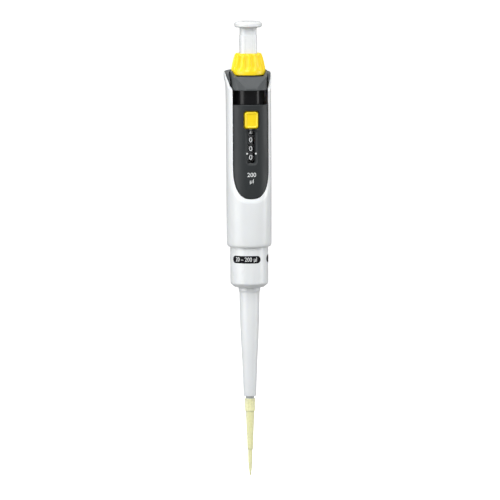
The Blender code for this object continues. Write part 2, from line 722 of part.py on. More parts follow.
def build_volume_wheel(parent):
    """Yellow bell with sixteen flutes, a round socket below and the stem's hole on top."""
    segments = 4 * WHEEL_FLUTES
    top_chamfer = 0.4 * MM
    ring_chamfer = 0.5 * MM
    bm = bmesh.new()
    loops = [
        add_loop(bm, circle(WHEEL_SOCKET_RADIUS), WHEEL_BOTTOM_Z + 5.3 * MM, segments),
        add_loop(bm, circle(WHEEL_SOCKET_RADIUS), WHEEL_BOTTOM_Z, segments),
        add_loop(bm, circle(WHEEL_RADIUS - ring_chamfer), WHEEL_BOTTOM_Z, segments),
        add_loop(bm, circle(WHEEL_RADIUS), WHEEL_BOTTOM_Z + ring_chamfer, segments),
        add_loop(bm, circle(WHEEL_RADIUS), WHEEL_RING_TOP_Z, segments),
    ]
    # (height above the flutes' start, share of their full depth)
    for rise, share in ((1.4, 0.5), (3.8, 1.0), (6.4, 1.0), (8.8, 0.85), (10.7, 0.5)):
        z = WHEEL_FLUTE_START_Z + rise * MM
        loops.append(fluted_loop(bm, wheel_radius(z), WHEEL_FLUTE_DEPTH * share, z, segments))
    loops.append(add_loop(bm, circle(WHEEL_TOP_RADIUS - top_chamfer), WHEEL_TOP_Z, segments))
    for lower, upper in zip(loops, loops[1:]):
        bridge(bm, lower, upper)
    bm.faces.new(loops[0])
    bm.faces.new(loops[-1])
    wheel = add_object("volume_wheel", bm, "yellow_plastic", parent)
    hole_half_width = STEM_HALF_WIDTH + 0.2 * MM
    outline = rounded_outline(hole_half_width, hole_half_width, STEM_CORNER)
    hole = prism("stem_hole", outline, "Z", WHEEL_FLUTE_START_Z, WHEEL_TOP_Z + BEYOND, None, parent)
    boolean(wheel, hole, "DIFFERENCE")


def build_wheel_train(parent):
    """Hub below the wheel, the tube that drives the counter and the ring that keeps the hub."""
    hub_top = WHEEL_BOTTOM_Z + 4.9 * MM
    tube("wheel_hub", 6.9 * MM, 8.2 * MM, HUB_BOTTOM_Z, hub_top, "frame_plastic", SEGMENTS, parent)
    turned_ring(
        "drive_tube",
        DRIVE_TUBE_Z,
        [(4.3, 38), (4.3, 0), (6.3, 0), (6.3, 30), (6.6, 30), (6.6, 38)],
        "brass",
        SEGMENTS,
        parent,
    )
    ring_z = HUB_BOTTOM_Z + 0.4 * MM
    tube(
        "hub_retaining_ring", 8.5 * MM, 9.8 * MM, ring_z, ring_z + 1.1 * MM, "steel", SEGMENTS, parent
    )


def build_drum(name, height, parent):
    """One number drum: a ring with a shallow shoulder at each end."""
    low = height - DRUM_HEIGHT / 2.0
    high = height + DRUM_HEIGHT / 2.0
    outline = [
        (circle(DRUM_BORE), high),
        (circle(DRUM_BORE), low),
        (circle(DRUM_RADIUS - DRUM_SHOULDER), low),
        (circle(DRUM_RADIUS), low + DRUM_SHOULDER),
        (circle(DRUM_RADIUS), high - DRUM_SHOULDER),
        (circle(DRUM_RADIUS - DRUM_SHOULDER), high),
    ]
    ring_body(name, outline, "drum_plastic", 32, parent)


def build_volume_spindle(parent):
    """Spindle that sets the stroke, with its thread as plain grooves."""
    crest = 3.95
    root = 3.55
    bore = 2.2
    length = 50.0
    ridges = 5
    ridge_pitch = 4.0
    profile = [(bore, length), (bore, 0.0), (root, 0.0)]
    for ridge in range(ridges):
        height = 1.0 + ridge * ridge_pitch
        profile += [(root, height), (crest, height + 0.6), (crest, height + 2.2), (root, height + 2.8)]
    profile += [(crest, 22.0), (crest, length)]
    turned_ring("volume_spindle", SPINDLE_BOTTOM_Z, profile, "steel", 16, parent)


# ---------------------------------------------------------------- pipetting key
def build_pipetting_key(parent):
    """Disc, stem and piston rod that go down together."""
    disc = [(8.1, 0.0), (8.8, 0.3), (8.95, 1.3), (8.95, 2.3), (8.5, 3.3), (7.6, 3.7)]
    turned_solid("key_cap", KEY_DISC_Z, disc, "white_key", 32, parent)
    outline = rounded_outline(STEM_HALF_WIDTH, STEM_HALF_WIDTH, STEM_CORNER)
    prism("key_stem", outline, "Z", STEM_BOTTOM_Z, KEY_DISC_Z - FIT_GAP, "white_key", parent)
    rod_foot = PISTON_HEAD_Z + 2.3 * MM
    rod_top = STEM_BOTTOM_Z - FIT_GAP
    outline = [
        (circle(ROD_RADIUS - 0.3 * MM), rod_foot),
        (circle(ROD_RADIUS), rod_foot + 0.4 * MM),
        (circle(ROD_RADIUS), rod_top),
    ]
    solid_body("piston_rod", outline, "steel", 20, parent)
    collar_foot = rod_top - 2.1 * MM
    tube("rod_collar", ROD_RADIUS + FIT_GAP, 3.1 * MM, collar_foot, rod_top, "brass", 20, parent)


def build_piston(parent):
    """Piston with the head that the return spring pushes against."""
    outline = [
        (circle(PISTON_RADIUS - 0.25 * MM), PISTON_BOTTOM_Z),
        (circle(PISTON_RADIUS), PISTON_BOTTOM_Z + 0.5 * MM),
        (circle(PISTON_RADIUS), PISTON_HEAD_Z - FIT_GAP),
    ]
    solid_body("piston", outline, "steel", SEGMENTS, parent)
    head = [(5.0, 0.0), (5.4, 0.4), (5.4, 1.6), (5.0, 2.0)]
    turned_solid("piston_head", PISTON_HEAD_Z, head, "frame_plastic", SEGMENTS, parent)


# ---------------------------------------------------------------- tip ejector
def build_ejector_key(parent):
    """Grey key that surrounds the wheel's foot, with a sloped thumb face at its front."""
    heights = (CROWN_BOTTOM_Z, CROWN_FLARE_Z, CROWN_TOP_Z - 0.6 * MM)
    outline = [
        (circle(11.7 * MM), CROWN_TOP_Z),
        (circle(11.7 * MM), CROWN_FLARE_Z),
        (circle(10.5 * MM), CROWN_FLARE_Z - 0.2 * MM),
        (circle(10.5 * MM), CROWN_BOTTOM_Z),
    ]
    outline += [(crown_section(z), z) for z in heights]
    rim = crown_section(CROWN_TOP_Z)
    rim.half_width -= 0.15 * MM
    rim.front -= 0.5 * MM
    rim.back -= 0.5 * MM
    outline.append((rim, CROWN_TOP_Z))
    crown = ring_body("ejector_key", outline, "grey_key", FINE_SEGMENTS, parent)

    face_foot = CROWN_BOTTOM_Z + 0.8 * MM
    slope = [
        (-14.45 * MM, face_foot),
        (-11.75 * MM, CROWN_TOP_Z - 3.3 * MM),
        (-8.0 * MM, CROWN_TOP_Z - 2.2 * MM),
        (-8.0 * MM, CROWN_TOP_Z + BEYOND),
        (-BEYOND, CROWN_TOP_Z + BEYOND),
        (-BEYOND, face_foot),
    ]
    cutter = prism("thumb_slope", slope, "X", -BEYOND, BEYOND, None, parent)
    boolean(crown, cutter, "DIFFERENCE")


def build_ejector_rod(parent):
    """Rod behind the counter, with the clip its return spring lifts against."""
    bottom = COLLAR_TOP_Z + FIT_GAP
    top = CROWN_BOTTOM_Z - FIT_GAP
    ejector_rod = rod("ejector_rod", EJECTOR_ROD_RADIUS, bottom, top, "steel", parent)
    ejector_rod.location.y = EJECTOR_ROD_Y
    clip = tube(
        "ejector_spring_clip",
        EJECTOR_ROD_RADIUS + 0.15 * MM,
        1.75 * MM,
        EJECTOR_CLIP_Z,
        EJECTOR_CLIP_Z + EJECTOR_CLIP_HEIGHT,
        "steel",
        16,
        parent,
    )
    clip.location.y = EJECTOR_ROD_Y


def build_ejector_spring():
    """Return spring round the ejector rod, standing on the chassis flange."""
    coil(
        "ejector_spring",
        1.45 * MM,
        0.22 * MM,
        EJECTOR_SPRING_Z,
        EJECTOR_CLIP_Z - FIT_GAP,
        10,
        "steel",
        EJECTOR_ROD_Y,
    )


def build_ejector_collar(parent):
    """Wide white cup that carries the volume label and slides in the handle."""
    floor_top = COLLAR_FLOOR_Z + 2.0 * MM
    outline = [
        (circle(COLLAR_BORE), COLLAR_TOP_Z),
        (circle(COLLAR_BORE), floor_top),
        (circle(6.3 * MM), floor_top),
        (circle(6.3 * MM), COLLAR_FLOOR_Z),
        (circle(COLLAR_RADIUS - 2.95 * MM), COLLAR_FLOOR_Z),
        (circle(COLLAR_RADIUS - 1.45 * MM), COLLAR_FLOOR_Z + 0.3 * MM),
        (circle(COLLAR_RADIUS - 0.45 * MM), COLLAR_FLOOR_Z + 1.2 * MM),
        (circle(COLLAR_RADIUS), COLLAR_FLOOR_Z + 3.0 * MM),
        (circle(COLLAR_RADIUS), COLLAR_TOP_Z),
    ]
    ring_body("ejector_collar", outline, "white_ejector", 32, parent)


def build_ejector_sleeve(parent):
    """Long tapered sleeve round the shaft, whose end pushes the tip off."""
    turned_ring(
        "ejector_sleeve",
        SLEEVE_END_Z,
        [
            (5.4, 74.0),
            (5.4, 65.5),
            (3.4, 0.0),
            (4.1, 0.0),
            (4.2, 0.3),
            (4.65, 15.3),
            (5.1, 25.0),
            (5.7, 36.0),
            (6.3, 52.0),
            (6.55, 67.9),
            (6.6, 68.5),
            (7.1, 68.7),
            (7.1, 70.9),
            (6.0, 70.9),
            (6.0, 74.0),
        ],
        "white_ejector",
        SEGMENTS,
        parent,
    )


def build_tip(parent):
    """Translucent tip for 200 microlitres, open from its mouth to its socket."""
    length = TIP_LENGTH / MM
    turned_ring(
        "pipette_tip",
        0.0,
        [
            (2.72, length),
            (2.42, 43.6),
            (2.05, 41.0),
            (1.75, 28.3),
            (1.4, 18.5),
            (0.95, 16.6),
            (0.85, 8.8),
            (0.55, 4.9),
            (0.25, 0.0),
            (0.5, 0.0),
            (1.07, 4.9),
            (1.37, 8.8),
            (1.46, 16.6),
            (1.9, 17.9),
            (2.27, 28.3),
            (2.8, 41.9),
            (3.35, 42.8),
            (3.35, length),
        ],
        "tip_plastic",
        SEGMENTS,
        parent,
    )


# ---------------------------------------------------------------- release button
def build_release_button(parent):
    """Yellow push button with a flange behind the panel and the tongue that it moves."""
    flange_front = BUTTON_FLANGE_Y - BUTTON_FLANGE_THICKNESS
    bm = bmesh.new()
    # (growth of the outline, corner radius, depth)
    layers = [
        (-0.7 * MM, 1.0 * MM, BUTTON_FACE_Y + 0.2 * MM),
        (-0.4 * MM, 1.2 * MM, BUTTON_FACE_Y),
        (0.0, 1.4 * MM, BUTTON_FACE_Y + 0.5 * MM),
        (0.0, 1.4 * MM, flange_front),
        (BUTTON_FLANGE_RIM, 1.6 * MM, flange_front),
        (BUTTON_FLANGE_RIM, 1.6 * MM, BUTTON_FLANGE_Y),
    ]
    loops = []
    for growth, corner, y in layers:
        outline = rounded_outline(BUTTON_WIDTH / 2.0 + growth, BUTTON_HEIGHT / 2.0 + growth, corner)
        loops.append([bm.verts.new((x, y, z)) for x, z in outline])
    for first, second in zip(loops, loops[1:]):
        bridge(bm, first, second)
    bm.faces.new(loops[0])
    bm.faces.new(loops[-1])
    add_object("release_button", bm, "yellow_plastic", parent)

    tongue = rounded_outline(1.2 * MM, 1.5 * MM, 0.3 * MM, 1)
    prism("lock_tongue", tongue, "Y", BUTTON_FLANGE_Y + FIT_GAP, TONGUE_END_Y, "steel", parent)


def main():
    clear_scene()
    build_handle_housing()
    build_front_panel()
    build_display_window()
    build_hatch()
    build_finger_rest_cover()
    build_inner_sleeve()
    build_mechanism_frame()
    build_counter_carrier()
    build_stroke_parts()
    build_shaft_unit()
    build_ejector_spring()

    wheel_axis = add_axis("wheel_axis")
    build_volume_wheel(wheel_axis)
    build_wheel_train(wheel_axis)
    for place, value in enumerate(("tenths", "ones", "tens", "hundreds")):
        build_drum(f"digit_drum_{value}", TENTHS_Z + place * DIGIT_PITCH, add_axis(f"{value}_axis"))
    build_volume_spindle(add_axis("spindle_axis"))

    key_axis = add_axis("key_axis")
    build_pipetting_key(key_axis)
    build_piston(key_axis)

    ejector_axis = add_axis("ejector_axis")
    build_ejector_key(ejector_axis)
    build_ejector_rod(ejector_axis)
    build_ejector_collar(ejector_axis)
    build_ejector_sleeve(ejector_axis)
    build_tip(add_axis("tip_axis"))
    build_release_button(add_axis("button_axis", (0.0, 0.0, BUTTON_Z)))


main()
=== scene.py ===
"""Looks of the micropipette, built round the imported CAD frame.

Most places are read from the frame's nodes. Profiles, the rows of the handle's top edge and the
heights of the prints are given in millimetres; other lengths are in metres. +Z runs up the long
axis, the front faces -Y and the finger rest points to +Y.
"""
import json
import math
from collections import Counter

import bmesh
import bpy
import numpy as np
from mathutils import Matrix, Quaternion, Vector


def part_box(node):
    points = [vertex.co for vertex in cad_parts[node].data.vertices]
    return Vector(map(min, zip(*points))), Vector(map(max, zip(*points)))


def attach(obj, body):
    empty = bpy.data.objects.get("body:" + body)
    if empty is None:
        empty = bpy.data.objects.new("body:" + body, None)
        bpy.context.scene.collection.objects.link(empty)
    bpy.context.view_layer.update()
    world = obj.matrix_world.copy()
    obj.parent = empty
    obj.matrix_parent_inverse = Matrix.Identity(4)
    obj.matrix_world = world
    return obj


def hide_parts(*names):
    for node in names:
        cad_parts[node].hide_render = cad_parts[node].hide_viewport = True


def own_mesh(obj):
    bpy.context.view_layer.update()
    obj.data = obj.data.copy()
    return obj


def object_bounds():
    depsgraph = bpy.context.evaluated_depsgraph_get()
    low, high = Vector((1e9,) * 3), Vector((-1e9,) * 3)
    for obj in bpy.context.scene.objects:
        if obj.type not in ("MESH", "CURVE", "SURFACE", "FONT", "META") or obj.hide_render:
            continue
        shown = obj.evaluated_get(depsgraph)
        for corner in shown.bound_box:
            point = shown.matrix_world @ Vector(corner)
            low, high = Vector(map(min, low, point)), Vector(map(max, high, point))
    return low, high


MM = 0.001
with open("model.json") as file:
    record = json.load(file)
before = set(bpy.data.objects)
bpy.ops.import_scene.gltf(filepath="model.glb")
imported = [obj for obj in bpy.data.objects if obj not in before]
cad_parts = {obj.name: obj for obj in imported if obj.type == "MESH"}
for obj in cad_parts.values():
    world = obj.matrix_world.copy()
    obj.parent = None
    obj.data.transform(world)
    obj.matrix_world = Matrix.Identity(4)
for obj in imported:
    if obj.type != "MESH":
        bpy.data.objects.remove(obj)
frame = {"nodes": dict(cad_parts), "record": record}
cad_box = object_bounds()


# ---------------------------------------------------------------- places read from the frame
def low(node):
    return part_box(node)[0]


def high(node):
    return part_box(node)[1]


def middle_z(node):
    return (low(node).z + high(node).z) / 2.0


def half_size(node):
    """Half width and half height of a node seen from the front."""
    return (high(node).x - low(node).x) / 2.0, (high(node).z - low(node).z) / 2.0


PANEL_RAISE = 1.5 * MM  # the panel's round end sits this much higher than in the CAD
SLOT_RAISE = 0.6 * MM
FLOOR_DROP = 36.0 * MM  # the tip goes down 32 mm, with its own joint and the ejector's
LIGHT_HEIGHT = 0.17
LETTER_SIZE = 3.9 * MM
LETTER_THICKNESS = 0.05 * MM

HOUSING_LOW = low("handle_housing")
HOUSING_HIGH = high("handle_housing")
PANEL_LOW = low("front_panel") + Vector((0.0, 0.0, PANEL_RAISE))
PANEL_HIGH = high("front_panel")
CROWN_LOW = low("ejector_key")
CROWN_HIGH = high("ejector_key")
WHEEL_LOW = low("volume_wheel")
WHEEL_HIGH = high("volume_wheel")
BUTTON_LOW = low("release_button")
BUTTON_HIGH = high("release_button")
COLLAR_LOW = low("ejector_collar")
COLLAR_HIGH = high("ejector_collar")
SLEEVE_LOW = low("ejector_sleeve")
TIP_HIGH = high("pipette_tip")
BUTTON_Z = middle_z("release_button")
SLOT_Z = middle_z("display_window") + SLOT_RAISE

ARCH_Z = HOUSING_LOW.z + 52.5 * MM  # where the panel's straight sides turn into its round end
BACK_DEPTH = 16.5 * MM
ARCH_POWER = 2.55


# ---------------------------------------------------------------- materials
class Shader:
    """A Principled material with helpers to wire procedural detail into it."""

    def __init__(self, name):
        self.material = bpy.data.materials.new(name)
        self.material.use_nodes = True
        self.tree = self.material.node_tree
        self.principled = self.tree.nodes["Principled BSDF"]
        coordinates = self.tree.nodes.new("ShaderNodeTexCoord")
        self.place = coordinates.outputs["Object"]

    def link(self, source, target):
        self.tree.links.new(source, target)

    def set(self, **values):
        for name, value in values.items():
            self.principled.inputs[name.replace("_", " ")].default_value = value

    def stretched(self, scale):
        mapping = self.tree.nodes.new("ShaderNodeMapping")
        mapping.inputs["Scale"].default_value = scale
        self.link(self.place, mapping.inputs["Vector"])
        return mapping.outputs["Vector"]

    def noise(self, size, detail=3.0, roughness=0.5, stretch=(1.0, 1.0, 1.0)):
        """Noise whose largest grains measure size metres."""
        node = self.tree.nodes.new("ShaderNodeTexNoise")
        node.inputs["Scale"].default_value = 1.0 / size
        node.inputs["Detail"].default_value = detail
        node.inputs["Roughness"].default_value = roughness
        self.link(self.stretched(stretch), node.inputs["Vector"])
        return node.outputs["Fac"]

    def ramp(self, source, low_value, high_value, start=0.3, end=0.7):
        node = self.tree.nodes.new("ShaderNodeMapRange")
        node.inputs["From Min"].default_value = start
        node.inputs["From Max"].default_value = end
        node.inputs["To Min"].default_value = low_value
        node.inputs["To Max"].default_value = high_value
        self.link(source, node.inputs["Value"])
        return node.outputs["Result"]

    def mixed(self, factor, first, second):
        node = self.tree.nodes.new("ShaderNodeMix")
        node.data_type = "RGBA"
        self.link(factor, node.inputs["Factor"])
        node.inputs["A"].default_value = (*first, 1.0)
        if isinstance(second, tuple):
            node.inputs["B"].default_value = (*second, 1.0)
        else:
            self.link(second, node.inputs["B"])
        return node.outputs["Result"]

    def maths(self, operation, first, second):
        node = self.tree.nodes.new("ShaderNodeMath")
        node.operation = operation
        for value, socket in ((first, node.inputs[0]), (second, node.inputs[1])):
            if isinstance(value, float):
                socket.default_value = value
            else:
                self.link(value, socket)
        return node.outputs["Value"]

    def edges(self):
        """1 on outer edges and 0 elsewhere."""
        geometry = self.tree.nodes.new("ShaderNodeNewGeometry")
        return self.ramp(geometry.outputs["Pointiness"], 0.0, 1.0, 0.52, 0.60)

    def bump(self, height, distance):
        node = self.tree.nodes.new("ShaderNodeBump")
        node.inputs["Strength"].default_value = 1.0
        node.inputs["Distance"].default_value = distance
        self.link(height, node.inputs["Height"])
        self.link(node.outputs["Normal"], self.principled.inputs["Normal"])

    def colour(self, output):
        self.link(output, self.principled.inputs["Base Color"])

    def roughness(self, output):
        self.link(output, self.principled.inputs["Roughness"])


def shade(colour, factor):
    return tuple(min(channel * factor, 1.0) for channel in colour)


def moulded_plastic(name, colour, roughness, grain, depth, coat=0.0, glow=0.0, edge_wear_and_painted_highlight=1.08):
    """Injection-moulded plastic: eroded grain, handling marks, slow colour drift, and paler edges that are
    partly edge wear and partly a painted highlight.
    """
    shader = Shader(name)
    drift = shader.noise(18.0 * MM, 2.0)
    body = shader.mixed(shader.ramp(drift, 0.0, 1.0), shade(colour, 0.975), colour)
    # Paler edges from the pointiness mask: partly edge wear, partly a painted highlight where edges catch the
    # light.
    worn_and_highlit_edges = shader.tree.nodes.new("ShaderNodeMix")
    worn_and_highlit_edges.data_type = "RGBA"
    shader.link(shader.maths("MULTIPLY", shader.edges(), 0.6), worn_and_highlit_edges.inputs["Factor"])
    shader.link(body, worn_and_highlit_edges.inputs["A"])
    worn_and_highlit_edges.inputs["B"].default_value = (*shade(colour, edge_wear_and_painted_highlight), 1.0)
    shader.colour(worn_and_highlit_edges.outputs["Result"])
    marks = shader.noise(5.0 * MM, 5.0, 0.65, (1.0, 1.0, 0.35))
    shader.roughness(shader.ramp(marks, roughness - 0.05, roughness + 0.07))
    fine = shader.noise(grain, 2.0, 0.6)
    broad = shader.maths("MULTIPLY", shader.noise(9.0 * MM, 1.0), 1.5)
    shader.bump(shader.maths("ADD", fine, broad), depth)
    shader.set(Coat_Weight=coat, Coat_Roughness=0.12, IOR=1.5)
    if glow:
        shader.set(Subsurface_Weight=glow, Subsurface_Scale=2.0 * MM)
        shader.principled.inputs["Subsurface Radius"].default_value = (1.0, 0.8, 0.5)
    return shader.material


def gloss_plastic(name, colour):
    """Polished black with dust and faint wiping streaks."""
    shader = Shader(name)
    dust = shader.noise(0.8 * MM, 4.0, 0.7)
    shader.colour(shader.mixed(shader.ramp(dust, 0.0, 1.0, 0.55, 0.85), colour, (0.006, 0.007, 0.008)))
    streaks = shader.noise(3.0 * MM, 4.0, 0.6, (1.0, 1.0, 0.12))
    shader.roughness(shader.ramp(streaks, 0.16, 0.26))
    shader.bump(shader.noise(4.0 * MM, 2.0), 0.02 * MM)
    shader.set(IOR=1.37)
    return shader.material


def tip_plastic(name):
    """Thin translucent polypropylene, pale yellow with slight flow marks."""
    shader = Shader(name)
    flow = shader.noise(4.0 * MM, 3.0, 0.5, (1.0, 1.0, 0.15))
    colour = shader.mixed(shader.ramp(flow, 0.0, 1.0), (0.90, 0.89, 0.50), (0.94, 0.93, 0.60))
    shader.colour(colour)
    shader.roughness(shader.ramp(shader.noise(1.2 * MM, 3.0), 0.22, 0.36))
    shader.bump(shader.noise(2.0 * MM, 1.0, 0.5, (1.0, 1.0, 0.2)), 0.010 * MM)
    shader.set(Transmission_Weight=0.03, IOR=1.42)
    shader.set(Subsurface_Weight=0.25, Subsurface_Scale=0.6 * MM)
    shader.principled.inputs["Subsurface Radius"].default_value = (1.0, 0.95, 0.6)
    return shader.material


def clear_plastic(name):
    """Clear pane with faint handling haze."""
    shader = Shader(name)
    shader.colour(shader.mixed(shader.noise(4.0 * MM), (0.94, 0.95, 0.96), (0.98, 0.98, 0.98)))
    shader.roughness(shader.ramp(shader.noise(2.0 * MM, 4.0), 0.02, 0.09))
    shader.bump(shader.noise(6.0 * MM, 1.0), 0.01 * MM)
    shader.set(Transmission_Weight=1.0, IOR=1.15)
    return shader.material


def ground_metal(name, colour, roughness, stretch):
    """Metal with fine lines along the given stretch and a little tarnish."""
    shader = Shader(name)
    lines = shader.noise(0.35 * MM, 4.0, 0.7, stretch)
    stain = shader.noise(3.0 * MM, 4.0, 0.6)
    tarnish = 0.85
    shader.colour(shader.mixed(shader.ramp(stain, 0.0, 1.0), shade(colour, tarnish), colour))
    shader.roughness(shader.ramp(lines, roughness - 0.08, roughness + 0.12))
    shader.bump(lines, 0.008 * MM)
    shader.set(Metallic=1.0)
    return shader.material


def seal_material(name, colour, roughness, ior=1.45):
    """Soft seal or printed ink: matt with a powdery bloom."""
    shader = Shader(name)
    bloom = shader.noise(0.9 * MM, 5.0, 0.7)
    shader.colour(shader.mixed(shader.ramp(bloom, 0.0, 1.0), colour, shade(colour, 1.25)))
    shader.roughness(shader.ramp(bloom, roughness - 0.1, roughness + 0.1))
    shader.bump(bloom, 0.02 * MM)
    shader.set(IOR=ior)
    return shader.material


WHITE = (0.800, 0.822, 0.830)
FINISH = {
    "white_housing": moulded_plastic("white_housing_look", WHITE, 0.34, 0.22 * MM, 0.010 * MM, 0.15, 0.08),
    "white_ejector": moulded_plastic(
        "white_ejector_look", shade(WHITE, 1.01), 0.30, 0.30 * MM, 0.008 * MM, 0.15, 0.08
    ),
    "white_key": moulded_plastic("white_key_look", shade(WHITE, 0.95), 0.28, 0.30 * MM, 0.008 * MM, 0.2, 0.1),
    "grey_panel": moulded_plastic(
        "grey_panel_look", (0.016, 0.020, 0.022), 0.48, 0.16 * MM, 0.030 * MM, edge_wear_and_painted_highlight=1.35
    ),
    "grey_key": moulded_plastic(
        "grey_key_look", (0.076, 0.084, 0.088), 0.46, 0.18 * MM, 0.030 * MM, edge_wear_and_painted_highlight=1.25
    ),
    "gloss_black": gloss_plastic("gloss_black_look", (0.003, 0.003, 0.004)),
    "yellow_plastic": moulded_plastic(
        "yellow_look", (0.955, 0.700, 0.004), 0.36, 0.25 * MM, 0.012 * MM, 0.1, 0.12, 1.04
    ),
    "tip_plastic": tip_plastic("tip_look"),
    "clear_window": clear_plastic("window_look"),
    "shaft_plastic": moulded_plastic("shaft_look", (0.52, 0.55, 0.57), 0.34, 0.3 * MM, 0.008 * MM),
    "frame_plastic": moulded_plastic("frame_look", (0.13, 0.14, 0.15), 0.5, 0.25 * MM, 0.02 * MM, edge_wear_and_painted_highlight=1.2),
    "drum_plastic": moulded_plastic("drum_look", (0.010, 0.010, 0.012), 0.42, 0.2 * MM, 0.012 * MM, edge_wear_and_painted_highlight=1.3),
    "steel": ground_metal("steel_look", (0.60, 0.61, 0.63), 0.26, (1.0, 1.0, 0.05)),
    "brass": ground_metal("brass_look", (0.78, 0.56, 0.24), 0.30, (0.2, 0.2, 3.0)),
    "seal_rubber": seal_material("rubber_look", (0.03, 0.03, 0.03), 0.75),
    "seal_white": seal_material("ptfe_look", (0.72, 0.72, 0.70), 0.45),
}
INK_WHITE = seal_material("white_ink_look", (0.78, 0.80, 0.80), 0.5)
INK_BLACK = seal_material("black_ink_look", (0.004, 0.004, 0.006), 0.55, 1.22)
# Lighter white on the bezel round the front panel: a painted highlight where the sloping bezel catches the
# top light; its lower roughness and clear coat are real gloss.
POLISHED_BEZEL_PAINTED_HIGHLIGHT = moulded_plastic(
    "polished_bezel_painted_highlight_look", shade(WHITE, 1.13), 0.22, 0.3 * MM, 0.006 * MM, 0.35, 0.08
)


# ---------------------------------------------------------------- mesh helpers
class Surface:
    """Collects grids of points into one mesh and merges the seams between them."""

    def __init__(self):
        self.points = []
        self.faces = []
        self.finishes = []

    def add(self, point):
        self.points.append(point)
        return len(self.points) - 1

    def add_face(self, corners, finish=0):
        self.faces.append(tuple(corners))
        self.finishes.append(finish)

    def grid(self, rows, wrap_columns=False, wrap_rows=False, flip=False, finish=0):
        """Quads between rows of points; a wrapped grid closes on itself."""
        index = [[self.add(point) for point in row] for row in rows]
        row_count = len(index)
        column_count = len(index[0])
        for row in range(row_count if wrap_rows else row_count - 1):
            above = (row + 1) % row_count
            for column in range(column_count if wrap_columns else column_count - 1):
                right = (column + 1) % column_count
                face = (index[row][column], index[row][right], index[above][right], index[above][column])
                self.add_face(face[::-1] if flip else face, finish)
        return index

    def cap(self, loop):
        self.add_face(loop)

    def strip(self, first, second):
        """Quads between two equally long lines of points."""
        self.grid([first, second])

    def mesh(self, name, merge=0.002 * MM):
        bm = bmesh.new()
        made = [bm.verts.new(point) for point in self.points]
        for face, finish in zip(self.faces, self.finishes):
            corners = []
            for index in face:
                if not corners or made[index] is not corners[-1]:
                    corners.append(made[index])
            if len(set(corners)) > 2:
                bm.faces.new(corners).material_index = finish
        bmesh.ops.remove_doubles(bm, verts=bm.verts[:], dist=merge)
        bmesh.ops.dissolve_degenerate(bm, edges=bm.edges[:], dist=merge)
        bmesh.ops.recalc_face_normals(bm, faces=bm.faces[:])
        mesh = bpy.data.meshes.new(name)
        bm.to_mesh(mesh)
        bm.free()
        return mesh


def place(name, mesh, slot, body, nodes=(), material=None, sharp=32.0, smooth_levels=0):
    """Put a finished mesh in the scene as a piece that rides on a CAD body."""
    mesh.shade_smooth()
    mesh.set_sharp_from_angle(angle=math.radians(sharp))
    mesh.materials.append(material or FINISH[slot])
    piece = bpy.data.objects.new(name, mesh)
    bpy.context.scene.collection.objects.link(piece)
    if smooth_levels:
        modifier = piece.modifiers.new("Smooth", "SUBSURF")
        modifier.levels = smooth_levels
        modifier.render_levels = smooth_levels
    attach(piece, body)
    if nodes:
        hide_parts(*nodes)
    return piece


def filleted(corners, steps=4):
    """Round the corners of a closed outline: each corner is (x, y, fillet radius)."""
    points = []
    count = len(corners)
    for index, (x, y, radius) in enumerate(corners):
        here = Vector((x, y))
        before = Vector(corners[index - 1][:2]) - here
        after = Vector(corners[(index + 1) % count][:2]) - here
        if radius <= 0.0:
            points.append((x, y))
            continue
        bend = before.angle(after)
        setback = min(radius / math.tan(bend / 2.0), 0.49 * before.length, 0.49 * after.length)
        start = here + before.normalized() * setback
        end = here + after.normalized() * setback
        for step in range(steps + 1):
            share = step / steps
            curve = start * (1 - share) ** 2 + here * 2 * share * (1 - share) + end * share**2
            points.append((curve.x, curve.y))
    return points


def ring(reach_at, z, segments):
    """A level ring of points; reach_at is a radius, or a function of the angle that gives one."""
    points = []
    for segment in range(segments):
        angle = 2.0 * math.pi * segment / segments
        reach = reach_at(angle) if callable(reach_at) else reach_at
        points.append((reach * math.cos(angle), reach * math.sin(angle), z))
    return points


def lathe(name, corners, segments, steps, ripple):
    """Turn a closed outline of (radius, z, fillet) round the long axis."""
    rows = []
    for radius, z in filleted(corners, steps):
        reach_at = (lambda angle: radius + ripple(radius, z, angle)) if ripple else radius
        rows.append(ring(reach_at, z, segments))
    surface = Surface()
    surface.grid(rows, wrap_columns=True, wrap_rows=True)
    return surface.mesh(name)


def turned_piece(name, corners, slot, body, node, segments=96, steps=4, sharp=32.0, ripple=None):
    """Lathe a closed outline and place it as the look of a CAD node."""
    place(name, lathe(name, corners, segments, steps, ripple), slot, body, [node], sharp=sharp)


def capped_loft(name, loops):
    """Skin a list of equally long loops and close both ends."""
    surface = Surface()
    index = surface.grid(loops, wrap_columns=True)
    surface.cap(index[0])
    surface.cap(index[-1])
    return surface.mesh(name)


def scaled(corners, z=0.0):
    """Corners given in millimetres, with z added in metres."""
    return [(radius * MM, height * MM + z, fillet * MM) for radius, height, fillet in corners]


def mix_points(first, second, share):
    return tuple(start + (end - start) * share for start, end in zip(first, second))


def smoothstep(value):
    value = min(max(value, 0.0), 1.0)
    return value * value * (3.0 - 2.0 * value)


def blended(table, z):
    """Values of a table of (z, value, ...) rows at a height, on smooth curves through the rows."""
    heights = [row[0] for row in table]
    z = min(max(z, heights[0]), heights[-1])
    index = next(i for i in range(len(table) - 1) if z <= heights[i + 1])
    lower, upper = table[index], table[index + 1]
    span = upper[0] - lower[0]
    share = (z - lower[0]) / span
    values = []
    for column in range(1, len(lower)):
        slopes = []
        for spot in (index, index + 1):
            near = table[max(spot - 1, 0)]
            far = table[min(spot + 1, len(table) - 1)]
            slopes.append((far[column] - near[column]) / (far[0] - near[0]) * span)
        s2, s3 = share**2, share**3
        values.append(
            (2 * s3 - 3 * s2 + 1) * lower[column]
            + (s3 - 2 * s2 + share) * slopes[0]
            + (3 * s2 - 2 * s3) * upper[column]
            + (s3 - s2) * slopes[1]
        )
    return values


